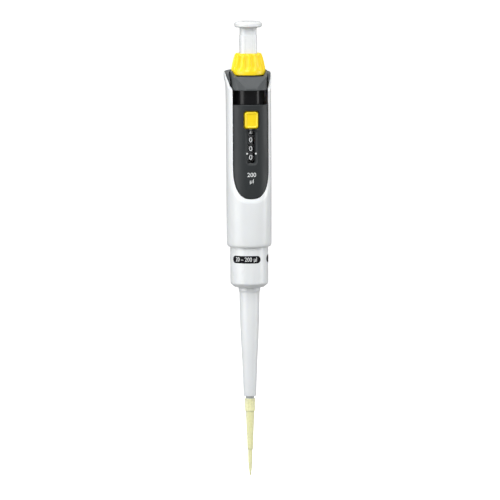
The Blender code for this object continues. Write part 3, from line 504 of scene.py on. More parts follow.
def oval_point(angle, half_width, front, back, power, back_power=None):
    """A point of a squared oval; angle 0 is +X and 90 degrees is +Y."""
    cosine, sine = math.cos(angle), math.sin(angle)
    depth = back if sine > 0.0 else front
    used = (back_power or power) if sine > 0.0 else power
    x = half_width * math.copysign(abs(cosine) ** (2.0 / used), cosine)
    y = depth * math.copysign(abs(sine) ** (2.0 / used), sine)
    return x, y


def oval_front(x, half_width, front, power):
    share = min(abs(x) / half_width, 1.0)
    return -front * (1.0 - share**power) ** (1.0 / power)


def rounded_rectangle(half_width, half_height, corner, steps=6):
    points = []
    for quarter in range(4):
        turn = quarter * math.pi / 2.0
        centre_x = math.copysign(half_width - corner, math.cos(turn + math.pi / 4.0))
        centre_y = math.copysign(half_height - corner, math.sin(turn + math.pi / 4.0))
        for step in range(steps + 1):
            angle = turn + step * math.pi / 2.0 / steps
            points.append((centre_x + corner * math.cos(angle), centre_y + corner * math.sin(angle)))
    return points


# ---------------------------------------------------------------- the grip's shape
def grip_table():
    """(z, half width, front, back, squareness) of the grip, up from its lower rim."""
    rows = [
        (0.0, 13.45, 13.45, 13.45, 2.0),
        (0.35, 13.95, 13.95, 13.95, 2.0),
        (1.1, 14.35, 14.40, 14.40, 2.02),
        (2.5, 14.50, 14.60, 14.60, 2.05),
        (10.5, 14.50, 14.90, 15.00, 2.15),
        (22.5, 14.50, 15.30, 15.70, 2.30),
        (40.5, 14.50, 15.50, 16.40, 2.45),
        (75.5, 14.50, 15.50, 16.50, 2.50),
        (86.5, 14.50, 15.50, 16.80, 2.50),
        (94.5, 14.50, 15.50, 18.20, 2.50),
        (100.5, 14.50, 15.50, 20.60, 2.50),
        (104.5, 14.70, 15.50, 23.00, 2.50),
        (108.5, 15.10, 15.50, 26.00, 2.50),
        (112.5, 15.30, 15.50, 28.00, 2.50),
    ]
    base = HOUSING_LOW.z
    return [(base + row[0] * MM, row[1] * MM, row[2] * MM, row[3] * MM, row[4]) for row in rows]


GRIP = grip_table()


def grip(z):
    """Half width, front, back and squareness of the grip's outside at a height."""
    return blended(GRIP, z)


def grip_front(x, z):
    """The grip's front surface, as a y, at a place seen from the front."""
    half_width, front, _, power = grip(z)
    return oval_front(x, half_width, front, power)


def grip_inside(z):
    """Half width, front, back and squareness of the cavity, which is a plain bore at the rim."""
    rim = HOUSING_LOW.z + 2.5 * MM
    half_width, front, back, power = grip(z)
    wall = 1.7 * MM
    inside = (half_width - wall, front - wall, min(back, BACK_DEPTH) - wall, power)
    bore = (12.75 * MM, 12.75 * MM, 12.75 * MM, 2.0)
    share = smoothstep((z - rim) / (8.0 * MM))
    return [low_value + (high_value - low_value) * share for low_value, high_value in zip(bore, inside)]


def slope_z(y):
    """Height of the handle's top edge: it climbs backwards from the panel to the finger rest."""
    start = CROWN_LOW.z - 0.7 * MM
    rise = 12.5 / 14.0
    top = HOUSING_HIGH.z
    return min(max(start + (y + 11.0 * MM) * rise, start), top)


HOOK_ROWS = [
    # outer (z, half width, back), inner (z, half width, back), all in millimetres
    (242.0, 14.50, 17.80, 242.0, 12.80, 14.80),
    (244.5, 14.50, 18.40, 244.5, 12.80, 14.80),
    (247.0, 14.50, 19.20, 247.0, 12.80, 14.80),
    (249.5, 14.50, 20.30, 249.5, 12.80, 14.80),
    (251.5, 14.55, 21.40, 251.5, 12.90, 14.75),
    (253.3, 14.65, 22.60, 253.3, 13.00, 14.70),
    (254.7, 14.75, 23.60, 255.0, 13.15, 14.65),
    (255.7, 14.82, 24.45, 256.5, 13.45, 14.65),
    (256.15, 14.88, 25.10, 257.8, 13.70, 14.70),
    (256.2, 14.90, 26.00, 258.4, 13.85, 14.80),
    (256.2, 14.92, 28.80, 258.5, 14.00, 16.00),
    (256.3, 14.95, 29.80, 258.5, 14.30, 29.00),
    (256.7, 15.00, 30.70, 258.6, 14.40, 30.20),
    (257.6, 15.10, 31.45, 258.9, 14.45, 30.55),
    (258.8, 15.20, 31.85, 259.6, 14.50, 30.60),
    (260.2, 15.30, 32.00, 260.4, 14.60, 30.65),
    (261.2, 15.30, 31.92, 261.2, 14.65, 30.70),
    (261.8, 15.20, 31.72, 261.7, 14.72, 30.80),
    (262.0, 15.00, 31.42, 262.0, 14.86, 31.05),
]
HOOK_BASE = 242.0 * MM
HOOK_RISE = HOUSING_HIGH.z - HOOK_BASE


class Shell:
    """The housing's outer or inner skin, half of it, as patches of points that share their seams."""

    EDGE = 11.55 * MM  # half width of the front opening
    INNER_GROWTH = 0.36  # the inner skin follows the outer one's growth by this share
    # millimetres outwards from the edge of the front opening
    GROWTHS = (0.0, 0.06, 0.16, 0.32, 0.7, 1.3, 1.9, 2.25, 2.4, 2.65)
    SIDE_COLUMNS = 20
    ARCH_COLUMNS = 14

    def __init__(self, outer):
        self.outer = outer

    def section(self, z):
        return grip(z) if self.outer else grip_inside(z)

    def growth(self, value):
        return value * MM if self.outer else value * self.INNER_GROWTH * MM

    def sink(self, value):
        """Rounded lip of the front opening, and the flat bezel that slopes down to it."""
        if not self.outer:
            return 0.0
        lip = 0.32
        depth = 0.0
        if value < lip:
            depth = lip - math.sqrt(lip**2 - (lip - value) ** 2)
        bezel = 2.3
        if value < bezel:
            depth += 0.30 * (1.0 - value / bezel)
        return depth * MM

    def front_point(self, x, z, value=3.0):
        half_width, front, _, power = self.section(z)
        return (x, oval_front(x, half_width, front, power) + self.sink(value), z)

    def edge_share(self):
        """How far out the side patch starts, as a share of the half width."""
        half_width = self.section(ARCH_Z)[0]
        return (self.EDGE + self.growth(self.GROWTHS[-1])) / half_width

    def side_point(self, column, z, hook=None):
        """A point of the side and back, from the seam (column 0) to the middle of the back."""
        half_width, front, back, power = self.section(z)
        if hook:
            half_width, back = hook
        start = math.pi + math.acos(self.edge_share() ** (power / 2.0))
        angle = start + (math.pi / 2.0 - start) * column / self.SIDE_COLUMNS
        x, y = oval_point(angle, half_width, front, back, power)
        if column == 0:
            x = -self.edge_share() * half_width
            y = oval_front(x, half_width, front, power)
        if column == self.SIDE_COLUMNS:
            x = 0.0
        return (x, y, z)

    def upper_heights(self):
        """Rows from the arch's top to the foot of the finger rest."""
        count = 10
        return [ARCH_Z + (HOOK_BASE - ARCH_Z) * step / count for step in range(count)]

    def hook_row(self, row, column=None, growth=None):
        """A point of the top zone, lowered where the slope cuts the edge.

        Column 0 of the side is the last column of the front, so that the seam stays closed.
        """
        if column == 0:
            return self.hook_row(row, growth=self.GROWTHS[-1])
        values = HOOK_ROWS[row]
        z, half_width, back = values[:3] if self.outer else values[3:]
        z, half_width, back = z * MM, half_width * MM, back * MM
        if growth is not None:
            x = -(self.EDGE + self.growth(growth))
            nominal = self.front_point(x, z, growth)
        else:
            nominal = self.side_point(column, z, (half_width, back))
        top = slope_z(nominal[1])
        z_cut = HOOK_BASE + (z - HOOK_BASE) * (top - HOOK_BASE) / HOOK_RISE
        if growth is not None:
            return self.front_point(nominal[0], z_cut, growth)
        share = (z_cut - HOOK_BASE) / HOOK_RISE
        cut_width = half_width if top >= HOUSING_HIGH.z else self.width_at(share)
        return self.side_point(column, z_cut, (cut_width, back))

    def width_at(self, share):
        """Half width of the top zone at a share of its height."""
        place_in_rows = share * HOOK_RISE + HOOK_BASE
        offset = 0 if self.outer else 3
        heights = [row[offset] * MM for row in HOOK_ROWS]
        widths = [row[offset + 1] * MM for row in HOOK_ROWS]
        return float(np.interp(place_in_rows, heights, widths))

    def upper_front(self):
        rows = [
            [self.front_point(-(self.EDGE + self.growth(g)), z, g) for g in self.GROWTHS]
            for z in self.upper_heights()
        ]
        for row in range(len(HOOK_ROWS)):
            rows.append([self.hook_row(row, growth=g) for g in self.GROWTHS])
        return rows

    def upper_side(self):
        columns = range(self.SIDE_COLUMNS + 1)
        rows = [[self.side_point(column, z) for column in columns] for z in self.upper_heights()]
        for row in range(len(HOOK_ROWS)):
            rows.append([self.hook_row(row, column=column) for column in columns])
        return rows

    def arch_spot(self, step, growth):
        """x and z of the rounded lower end of the opening, grown outwards."""
        turn = math.pi / 2.0 * step / self.ARCH_COLUMNS
        across = self.EDGE + self.growth(growth)
        down = ARCH_Z - PANEL_LOW.z + 0.4 * MM + self.growth(growth)
        x = -across * max(math.cos(turn), 0.0) ** (2.0 / ARCH_POWER)
        if step == self.ARCH_COLUMNS:
            x = 0.0
        return x, ARCH_Z - down * math.sin(turn) ** (2.0 / ARCH_POWER)

    def arch(self):
        rows = []
        for step in range(self.ARCH_COLUMNS + 1):
            spots = [(self.arch_spot(step, g), g) for g in self.GROWTHS]
            rows.append([self.front_point(x, z, g) for (x, z), g in spots])
        return rows

    def rim_heights(self):
        base = HOUSING_LOW.z
        return [base + rise * MM for rise in (6.0, 4.0, 2.6, 1.7, 1.1, 0.65, 0.35, 0.12, 0.0)]

    def falling_heights(self, top):
        """From a height down to the foot of the grip, then the rim's own rows."""
        foot = HOUSING_LOW.z + 8.0 * MM
        count = 9
        return [top + (foot - top) * step / count for step in range(count + 1)] + self.rim_heights()

    def lower_front(self):
        columns = []
        for step in range(self.ARCH_COLUMNS + 1):
            x, top = self.arch_spot(step, self.GROWTHS[-1])
            share = x / self.section(top)[0]
            if step == 0:
                share = -self.edge_share()
            column = []
            for z in self.falling_heights(top):
                half_width = self.section(z)[0]
                column.append(self.front_point(share * half_width, z, self.GROWTHS[-1]))
            columns.append(column)
        return columns

    def lower_side(self):
        heights = self.falling_heights(ARCH_Z)
        return [[self.side_point(column, z) for z in heights] for column in range(self.SIDE_COLUMNS + 1)]

    def patches(self):
        return {
            "upper_front": self.upper_front(),
            "upper_side": self.upper_side(),
            "arch": self.arch(),
            "lower_front": self.lower_front(),
            "lower_side": self.lower_side(),
        }


def mirrored(rows):
    return [[(-x, y, z) for x, y, z in row] for row in rows]


def housing_mesh():
    """Both skins of the housing, joined round the front opening, the top edge and the rim."""
    surface = Surface()
    skins = [Shell(True).patches(), Shell(False).patches()]
    for patches in skins:
        for part, rows in patches.items():
            # Finish 1 on the outer skin's front patches is the bezel's lighter white, a painted highlight.
            finish = 1 if patches is skins[0] and part in ("upper_front", "arch") else 0
            surface.grid(rows, finish=finish)
            surface.grid(mirrored(rows), finish=finish)
    outer, inner = skins
    edges = []
    for patches in (outer, inner):
        opening = [row[0] for row in reversed(patches["upper_front"])] + [row[0] for row in patches["arch"]]
        top = patches["upper_front"][-1] + patches["upper_side"][-1]
        rim = [column[-1] for column in reversed(patches["lower_front"])]
        rim += [column[-1] for column in patches["lower_side"]]
        edges.append((opening, top, rim))
    for outside, inside in zip(*edges):
        surface.strip(outside, inside)
        surface.strip(*mirrored([outside, inside]))
    return surface.mesh("housing_shell")


def build_housing():
    mesh = housing_mesh()
    shell = place("housing_shell", mesh, "white_housing", "handle", ["handle_housing"], smooth_levels=1)
    # Second slot: the bezel's lighter white, a painted highlight.
    shell.data.materials.append(POLISHED_BEZEL_PAINTED_HIGHLIGHT)
    build_hatch()


def build_hatch():
    """Cover plate at the back with a rounded rim; it lies just under the shell's skin."""
    centre = middle_z("calibration_cover")
    half_width, half_height = half_size("calibration_cover")
    under_skin = 0.1
    loops = []
    for inset, sink in ((0.0, 1.2), (0.0, 0.35), (0.12, 0.12), (0.35, 0.0), (1.2, -0.03), (2.6, -0.06)):
        corner = max(1.8 - inset, 0.5) * MM
        loop = []
        for x, z in rounded_rectangle(half_width - inset * MM, half_height - inset * MM, corner):
            height = centre + z
            half, _, back, power = grip(height)
            loop.append((x, -oval_front(x, half, back, power) - (sink + under_skin) * MM, height))
        loops.append(loop)
    place("rear_hatch", capped_loft("rear_hatch", loops), "white_housing", "handle", ["calibration_cover"])


# ---------------------------------------------------------------- front panel
def outline_distance(x, z):
    """Distance inwards from the panel's outline, negative outside it."""
    half_width = PANEL_HIGH.x
    sides = half_width - abs(x)
    top = PANEL_HIGH.z - z
    if z >= ARCH_Z:
        return min(sides, top)
    down = ARCH_Z - PANEL_LOW.z
    u, v = abs(x) / half_width, (ARCH_Z - z) / down
    level = (u**ARCH_POWER + v**ARCH_POWER) ** (1.0 / ARCH_POWER)
    if level < 1e-6:
        return half_width
    slope = math.hypot(
        u ** (ARCH_POWER - 1.0) / half_width, v ** (ARCH_POWER - 1.0) / down
    ) / level ** (ARCH_POWER - 1.0)
    return (1.0 - level) / slope


def rectangle_distance(x, z, centre_z, half_width, half_height, corner):
    """Distance outwards from a rounded rectangle, negative inside it."""
    across = abs(x) - half_width + corner
    along = abs(z - centre_z) - half_height + corner
    outside = math.hypot(max(across, 0.0), max(along, 0.0))
    return outside + min(max(across, along), 0.0) - corner


def hole_distance(x, z):
    """Distance from the nearer of the button's hole and the counter's slot."""
    button = rectangle_distance(x, z, BUTTON_Z, 4.95 * MM, 5.95 * MM, 2.0 * MM)
    slot = rectangle_distance(x, z, SLOT_Z, 2.15 * MM, 10.4 * MM, 0.8 * MM)
    return min(button, slot)


def panel_sink(x, z):
    """How far the panel's face lies below the grip's surface: rounded edges and the groove."""
    sink = 0.10 * MM
    for distance, radius in ((outline_distance(x, z), 0.35 * MM), (hole_distance(x, z), 0.40 * MM)):
        if distance < radius:
            reach = max(radius - max(distance, 0.0), 0.0)
            sink += radius - math.sqrt(max(radius**2 - reach**2, 0.0))
    groove = rectangle_distance(x, z, SLOT_Z - 0.2 * MM, 3.9 * MM, 11.6 * MM, 2.6 * MM)
    sink += 0.75 * MM * smoothstep(-groove / (0.8 * MM))
    return sink


def panel_distance(x, z):
    """Distance inwards from the outline or the nearer hole, negative off the panel."""
    return min(outline_distance(x, z), hole_distance(x, z))


def cell_corners(column, row):
    return [(column, row), (column + 1, row), (column + 1, row + 1), (column, row + 1)]


def panel_places(cells, width, height):
    """x and z of the cells' corners; those on the border are moved onto the panel's outline."""
    uses = Counter(corner for cell in cells for corner in cell_corners(*cell))
    places = {}
    for column, row in uses:
        x = -PANEL_HIGH.x + column * width
        z = PANEL_LOW.z + row * height
        places[(column, row)] = snapped(x, z, panel_distance) if uses[(column, row)] < 4 else (x, z)
    return places


def panel_mesh():
    """A fine grid over the panel; cells in the holes or past the outline are left out."""
    step = 0.28 * MM
    thickness = 1.8 * MM
    columns = int(math.ceil(2.0 * PANEL_HIGH.x / step))
    rows = int(math.ceil((PANEL_HIGH.z - PANEL_LOW.z) / step))
    width = PANEL_HIGH.x / columns * 2.0
    height = (PANEL_HIGH.z - PANEL_LOW.z) / rows
    cells = []
    for row in range(rows):
        for column in range(columns):
            x = -PANEL_HIGH.x + (column + 0.5) * width
            z = PANEL_LOW.z + (row + 0.5) * height
            if panel_distance(x, z) > 0.0:
                cells.append((column, row))

    surface = Surface()
    front = {}
    back = {}
    for corner, (x, z) in panel_places(cells, width, height).items():
        y = grip_front(x, z)
        front[corner] = surface.add((x, y + panel_sink(x, z), z))
        back[corner] = surface.add((x, y + thickness, z))
    sides = []
    for cell in cells:
        corners = cell_corners(*cell)
        surface.add_face(front[corner] for corner in corners)
        surface.add_face(back[corner] for corner in reversed(corners))
        sides += [tuple(sorted(pair)) for pair in zip(corners, corners[1:] + corners[:1])]
    for (first, second), uses in Counter(sides).items():
        if uses == 1:
            surface.add_face((front[first], front[second], back[second], back[first]))
    return surface.mesh("panel_skin", 0.0005 * MM)


def snapped(x, z, distance):
    """Move a point onto the line where a distance function is zero."""
    probe = 0.01 * MM
    for _ in range(4):
        here = distance(x, z)
        slope_x = (distance(x + probe, z) - distance(x - probe, z)) / (2.0 * probe)
        slope_z = (distance(x, z + probe) - distance(x, z - probe)) / (2.0 * probe)
        steepness = slope_x**2 + slope_z**2
        if steepness < 1e-6:
            break
        x -= here * slope_x / steepness
        z -= here * slope_z / steepness
    return x, z


def on_grip(x, z, lift):
    """A point in front of the grip's surface by lift."""
    return (x, grip_front(x, z) - lift, z)


def build_panel():
    place("panel_skin", panel_mesh(), "grey_panel", "handle", ["front_panel"], sharp=50.0)
    build_window()
    build_decimal_marks()
    for name, words, height in (("volume_print", "200", 196.9), ("unit_print", "µl", 192.8)):
        mesh = text_mesh(name, words, LETTER_SIZE)
        bend_text(mesh, lambda x, y, lift: on_grip(x, y + height * MM, lift - 0.10 * MM))
        place(name, mesh, "seal_white", "handle", material=INK_WHITE, sharp=60.0)


def build_window():
    """Clear pane behind the counter's slot."""
    middle = middle_z("display_window")
    half_width, half_height = half_size("display_window")
    front_y, back_y = low("display_window").y, high("display_window").y
    rings = []
    for inset, y in ((0.2, front_y), (0.0, front_y + 0.15 * MM), (0.0, back_y)):
        outline = rounded_rectangle(half_width - inset * MM, half_height - inset * MM, 1.0 * MM)
        rings.append([(x, y, z + middle) for x, z in outline])
    place("window_pane", capped_loft("window_pane", rings), "clear_window", "handle", ["display_window"])


def build_decimal_marks():
    """Two raised marks beside the slot, level with the gap between the ones and the tenths."""
    mark_x = 2.95 * MM
    mark_z = (high("digit_drum_tenths").z + low("digit_drum_ones").z) / 2.0
    for name, side in (("decimal_mark_left", -1.0), ("decimal_mark_right", 1.0)):
        rings = []
        for inset, lift in ((0.0, -1.05), (0.0, -0.72), (0.12, -0.66)):
            outline = rounded_rectangle((0.62 - inset) * MM, (0.5 - inset) * MM, (0.3 - inset / 2) * MM, 4)
            rings.append([on_grip(x + side * mark_x, z + mark_z, lift * MM) for x, z in outline])
        place(name, capped_loft(name, rings), "seal_white", "handle", material=INK_WHITE)


# ---------------------------------------------------------------- lettering
def text_mesh(name, words, size):
    """Flat raised characters, centred on the origin in X and Y, facing +Z."""
    curve = bpy.data.curves.new(name + "_curve", "FONT")
    curve.body = words
    curve.size = size
    curve.extrude = LETTER_THICKNESS / 2.0
    curve.resolution_u = 6
    curve.align_x = "CENTER"
    curve.align_y = "CENTER"
    holder = bpy.data.objects.new(name + "_curve", curve)
    bpy.context.scene.collection.objects.link(holder)
    bpy.context.view_layer.update()
    graph = bpy.context.evaluated_depsgraph_get()
    mesh = bpy.data.meshes.new_from_object(holder.evaluated_get(graph))
    mesh.name = name
    bpy.data.objects.remove(holder, do_unlink=True)
    bpy.data.curves.remove(curve)
    bm = bmesh.new()
    bm.from_mesh(mesh)
    bmesh.ops.remove_doubles(bm, verts=bm.verts[:], dist=0.001 * MM)
    bmesh.ops.recalc_face_normals(bm, faces=bm.faces[:])
    bm.to_mesh(mesh)
    bm.free()
    mesh.materials.clear()
    return mesh


def squeeze_text(mesh, width):
    """Condense flat characters to a total width."""
    reach = [vertex.co.x for vertex in mesh.vertices]
    centre = (max(reach) + min(reach)) / 2.0
    factor = width / (max(reach) - min(reach))
    for vertex in mesh.vertices:
        vertex.co.x = (vertex.co.x - centre) * factor


def bend_text(mesh, place_point):
    """Lay flat characters on a surface: place_point maps x, y and lift to a point."""
    for vertex in mesh.vertices:
        x, y, lift = vertex.co
        vertex.co = place_point(x, y, lift)


def round_the_axis(radius, angle, height):
    """Maps flat characters onto an upright cylinder, centred at an angle (0 is the front)."""

    def place_point(x, y, lift):
        turn = angle + x / radius
        reach = radius + lift
        return (reach * math.sin(turn), -reach * math.cos(turn), height + y)

    return place_point


# ---------------------------------------------------------------- counter drums
def digit_order(value):
    """Digits in the order they come past the window as the volume falls."""
    if value == "tenths":
        return [str((10 - 2 * step) % 10) for step in range(10)]
    start = 2 if value == "hundreds" else 0
    return [str((start - step) % 10) for step in range(10)]


def build_drums():
    for value in ("hundreds", "tens", "ones", "tenths"):
        node = f"digit_drum_{value}"
        body = f"{value}_drum"
        bottom, top = low(node).z, high(node).z
        radius = high(node).x
        bore = 8.9 * MM
        fillet = 0.25 * MM
        shoulder = radius - 0.35 * MM
        corners = [
            (bore, bottom, 0.1 * MM),
            (shoulder, bottom, 0.1 * MM),
            (shoulder, bottom + 0.3 * MM, 0.05 * MM),
            (radius, bottom + 0.45 * MM, fillet),
            (radius, top - 0.45 * MM, fillet),
            (shoulder, top - 0.3 * MM, 0.05 * MM),
            (shoulder, top, 0.1 * MM),
            (bore, top, 0.1 * MM),
        ]
        turned_piece(f"drum_{value}", corners, "drum_plastic", body, node, steps=3)
        middle = (bottom + top) / 2.0
        whole = bmesh.new()
        for step, digit in enumerate(digit_order(value)):
            mesh = text_mesh("digit", digit, 4.5 * MM)
            bend_text(mesh, round_the_axis(radius + 0.02 * MM, math.radians(36.0 * step), middle))
            whole.from_mesh(mesh)
            bpy.data.meshes.remove(mesh)
        digits = bpy.data.meshes.new(f"digits_{value}")
        whole.to_mesh(digits)
        whole.free()
        place(f"digits_{value}", digits, "seal_white", body, material=INK_WHITE, sharp=60.0)


# ---------------------------------------------------------------- finger rest lining
def build_rest_lining():
    """Grey lining: a C round the ejector key's path with a dished top over the hook."""
    columns = 96
    cover_low, cover_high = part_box("finger_rest_cover")
    top_z = cover_high.z
    shelf_z = HOUSING_HIGH.z - 3.2 * MM
    skirt_height = shelf_z - cover_low.z
    end_turn = math.radians(13.0)
    loops = []
    for column in range(columns + 1):
        angle = math.pi + end_turn - (math.pi + 2.0 * end_turn) * column / columns
        inner = oval_point(angle, 12.45 * MM, 14.6 * MM, 13.75 * MM, 2.8, 2.2)
        skirt = oval_point(angle, 12.95 * MM, 15.0 * MM, 14.35 * MM, 2.8, 2.3)
        upper_skirt = oval_point(angle, 13.55 * MM, 15.0 * MM, 14.35 * MM, 2.8, 2.3)
        full = oval_point(angle, 14.35 * MM, 15.3 * MM, 30.3 * MM, 2.8, 2.4)
        slope = slope_z(full[1]) + 0.25 * MM
        widening = smoothstep((slope - shelf_z - 0.1 * MM) / (0.9 * MM))
        lean = min(max(slope - cover_low.z, 0.0) / skirt_height, 1.0)
        shelf = mix_points(skirt, upper_skirt, lean)
        wide = mix_points(shelf, full, widening)
        rim_z = min(slope_z(wide[1]) + 0.25 * MM, top_z)
        lip_z = min(slope_z(inner[1]) + 0.35 * MM, top_z)
        low_z = min(cover_low.z, rim_z - 0.8 * MM)
        knee_z = min(shelf_z, rim_z - 0.5 * MM)
        loop = [
            (inner[0], inner[1], low_z + 0.1 * MM),
            (skirt[0] * 0.998, skirt[1], low_z),
            (skirt[0], skirt[1], low_z + 0.15 * MM),
            (shelf[0], shelf[1], knee_z),
            (wide[0] * 0.995, wide[1] * 0.995, knee_z + 0.02 * MM),
            (wide[0], wide[1], knee_z + 0.12 * MM),
            (wide[0], wide[1], rim_z - 0.3 * MM),
            (wide[0] * 0.996, wide[1] * 0.996, rim_z - 0.06 * MM),
        ]
        reach = math.hypot(wide[0] - inner[0], wide[1] - inner[1])
        dish = min(reach * 0.09, 1.5 * MM)
        steps = 10
        for step in range(steps + 1):
            share = 0.02 + 0.96 * step / steps
            x, y = mix_points(wide, inner, share)
            z = rim_z + (lip_z - rim_z) * share - dish * math.sin(math.pi * share) ** 1.3
            loop.append((x, y, z))
        loop.append((inner[0], inner[1], lip_z - 0.25 * MM))
        loops.append(loop)
    surface = Surface()
    index = surface.grid(loops, wrap_columns=True)
    surface.cap(index[0])
    surface.cap(index[-1])
    mesh = surface.mesh("rest_lining")
    place("rest_lining", mesh, "grey_key", "handle", ["finger_rest_cover"], sharp=40.0)


# ---------------------------------------------------------------- ejector key
CROWN_SEAT = 6.8 * MM  # height of the recess's floor over the key's foot
CROWN_COLUMNS = 56
FACE_COLUMNS = 8
FACET_COLUMNS = 12


def crown_outline(z):
    """Half width, front, back and the two squarenesses of the ejector key at a height."""
    share = max(z - (CROWN_LOW.z + CROWN_SEAT), 0.0) / (CROWN_HIGH.z - CROWN_LOW.z - CROWN_SEAT)
    return (11.3 + 0.7 * share) * MM, 14.3 * MM, 13.4 * MM, 3.6, 2.2


def crown_top(y):
    """The key's top edge: low in front of the wheel and high at its sides and back."""
    rise = smoothstep((y + 11.7 * MM) / (8.5 * MM))
    return CROWN_LOW.z + (8.9 + 3.5 * rise) * MM


def thumb_face(z):
    """Half width and depth of the thumb face, which widens and leans back upwards."""
    share = min(max((z - CROWN_LOW.z - 1.2 * MM) / (7.3 * MM), 0.0), 1.0)
    return (3.4 + 6.5 * share) * MM, (-14.25 + 2.45 * share) * MM


def crown_spot(column, z):
    """A point of the key's outside: the thumb face, a side facet, then round to the back."""
    half_width, front, back, power, back_power = crown_outline(z)
    edge_x, edge_y = thumb_face(z)
    if column <= FACE_COLUMNS:
        return edge_x * column / FACE_COLUMNS, edge_y
    side_start = -math.radians(33.0)
    side_x, side_y = oval_point(side_start, half_width, front, back, power, back_power)
    if column <= FACE_COLUMNS + FACET_COLUMNS:
        share = (column - FACE_COLUMNS) / FACET_COLUMNS
        swell = 0.9 * MM * 4.0 * share * (1.0 - share) * share
        x, y = mix_points((edge_x, edge_y), (side_x, side_y), share)
        return x + swell, y - swell
    share = (column - FACE_COLUMNS - FACET_COLUMNS) / (CROWN_COLUMNS - FACE_COLUMNS - FACET_COLUMNS)
    angle = side_start + (math.pi / 2.0 - side_start) * share
    x, y = oval_point(angle, half_width, front, back, power, back_power)
    return (0.0 if column == CROWN_COLUMNS else x), y


def crown_outside(column, top):
    """Points up the key's outside, from its rounded foot to just below its top edge."""
    bottom = CROWN_LOW.z
    heights = [bottom + rise * MM for rise in (0.0, 0.12, 0.35, 0.75, 1.1)]
    insets = [0.3, 0.14, 0.04, 0.0]
    body_rows = 10
    span = top - 0.35 * MM - heights[-1]
    heights += [heights[-1] + span * step / body_rows for step in range(1, body_rows + 1)]
    points = []
    for row, z in enumerate(heights):
        x, y = crown_spot(column, z)
        inset = insets[row] * MM if row < len(insets) else 0.0
        kept_share = 1 - inset / math.hypot(x, y)
        points.append((x * kept_share, y * kept_share, z))
    return points


def crown_loop(column):
    """One upright section of the key: up the outside, over the edge, down the recess and bore."""
    bottom = CROWN_LOW.z
    top = crown_top(crown_spot(column, bottom + 8.0 * MM)[1])
    loop = crown_outside(column, top)
    turn = math.atan2(loop[-1][1], loop[-1][0])
    recess = 11.7 * MM
    bore = 10.5 * MM
    outer_reach = math.hypot(loop[-1][0], loop[-1][1])
    wall = max(outer_reach - recess, 0.15 * MM)
    edge = ((0.12, 0.10), (0.32, 0.0), (0.75, 0.0), (0.93, 0.10), (1.0, 0.3))
    seat = bottom + CROWN_SEAT
    inside = [(outer_reach - wall * share, top - drop * MM) for share, drop in edge] + [
        (recess, seat + 0.15 * MM),
        (recess - 0.1 * MM, seat),
        (bore + 0.1 * MM, seat - 0.1 * MM),
        (bore, seat - 0.25 * MM),
        (bore, bottom + 0.2 * MM),
        (bore + 0.2 * MM, bottom),
    ]
    return loop + [(reach * math.cos(turn), reach * math.sin(turn), z) for reach, z in inside]


def build_crown():
    half = [crown_loop(column) for column in range(CROWN_COLUMNS + 1)]
    surface = Surface()
    surface.grid(half + mirrored(reversed(half[1:-1])), wrap_columns=True, wrap_rows=True)
    mesh = surface.mesh("thumb_crown")
    place("thumb_crown", mesh, "grey_key", "ejector", ["ejector_key"], sharp=17.0)


# ---------------------------------------------------------------- volume wheel
def wheel_reach(z):
    """The wheel's bell curve: it leans in slowly, then faster towards the top."""
    foot = WHEEL_LOW.z + 1.7 * MM
    height = WHEEL_HIGH.z - foot
    full, narrow, taper = WHEEL_HIGH.x, 8.5 * MM, 0.08
    rise = max(z - foot, 0.0)
    bend = (full - narrow - taper * height) / height**2
    return full - taper * rise - bend * rise**2


def build_wheel():
    """Yellow bell: a smooth foot ring, then sixteen hollow flutes that run up to the top."""
    flutes = 16
    segments = flutes * 16
    top = WHEEL_HIGH.z
    bottom = WHEEL_LOW.z
    foot = bottom + 2.2 * MM

    def groove(z, angle):
        """Depth of the flutes at a place, with round lower ends and narrow ridges between."""
        wave = abs(math.sin(flutes * angle / 2.0))
        run = (z - foot) / (3.0 * MM)
        rounded_end = smoothstep(run - 0.9 * (1.0 - wave) ** 2)
        fade = 1.0 - 0.55 * smoothstep((z - top + 3.5 * MM) / (3.5 * MM))
        return -1.25 * MM * rounded_end * fade * (1.0 - (1.0 - wave) ** 1.8)

    outside = [
        (WHEEL_HIGH.x - 0.5 * MM, bottom),
        (WHEEL_HIGH.x - 0.22 * MM, bottom + 0.07 * MM),
        (WHEEL_HIGH.x - 0.06 * MM, bottom + 0.25 * MM),
        (WHEEL_HIGH.x, bottom + 0.55 * MM),
        (WHEEL_HIGH.x, bottom + 1.3 * MM),
    ]
    body_rows = 30
    for row in range(body_rows + 1):
        z = foot + (top - 1.5 * MM - foot) * row / body_rows
        outside.append((wheel_reach(z), z))
    crest = wheel_reach(top - 1.5 * MM)
    for inset, drop in ((0.22, 1.05), (0.46, 0.65), (0.72, 0.33), (0.98, 0.12), (1.2, 0.0)):
        outside.append((crest - inset * MM, top - drop * MM))

    rows = []
    for radius, z in outside:
        rows.append(ring(lambda angle: radius + (groove(z, angle) if z > foot else 0.0), z, segments))
    hole_half, hole_corner = 5.7 * MM, 3.3 * MM
    for grow, z in ((0.25, top), (0.05, top - 0.1 * MM), (0.0, top - 0.35 * MM), (0.0, bottom + 5.3 * MM)):
        rows.append(ring(lambda angle: square_reach(angle, hole_half + grow * MM, hole_corner), z, segments))
    for radius, z in ((8.5, 5.3), (8.5, 0.2), (8.7, 0.0)):
        rows.append(ring(radius * MM, bottom + z * MM, segments))
    surface = Surface()
    surface.grid(rows, wrap_columns=True, wrap_rows=True)
    mesh = surface.mesh("fluted_wheel")
    place("fluted_wheel", mesh, "yellow_plastic", "wheel_train", ["volume_wheel"], sharp=45.0)


def square_reach(angle, half_width, corner):
    """Distance from the middle of a rounded square to its edge, in a direction."""
    cosine, sine = abs(math.cos(angle)), abs(math.sin(angle))
    flat = half_width - corner
    reach = half_width / max(cosine, sine)
    if reach * min(cosine, sine) > flat:
        along = flat * (cosine + sine)
        reach = along + math.sqrt(max(along**2 - 2.0 * flat**2 + corner**2, 0.0))
    return reach


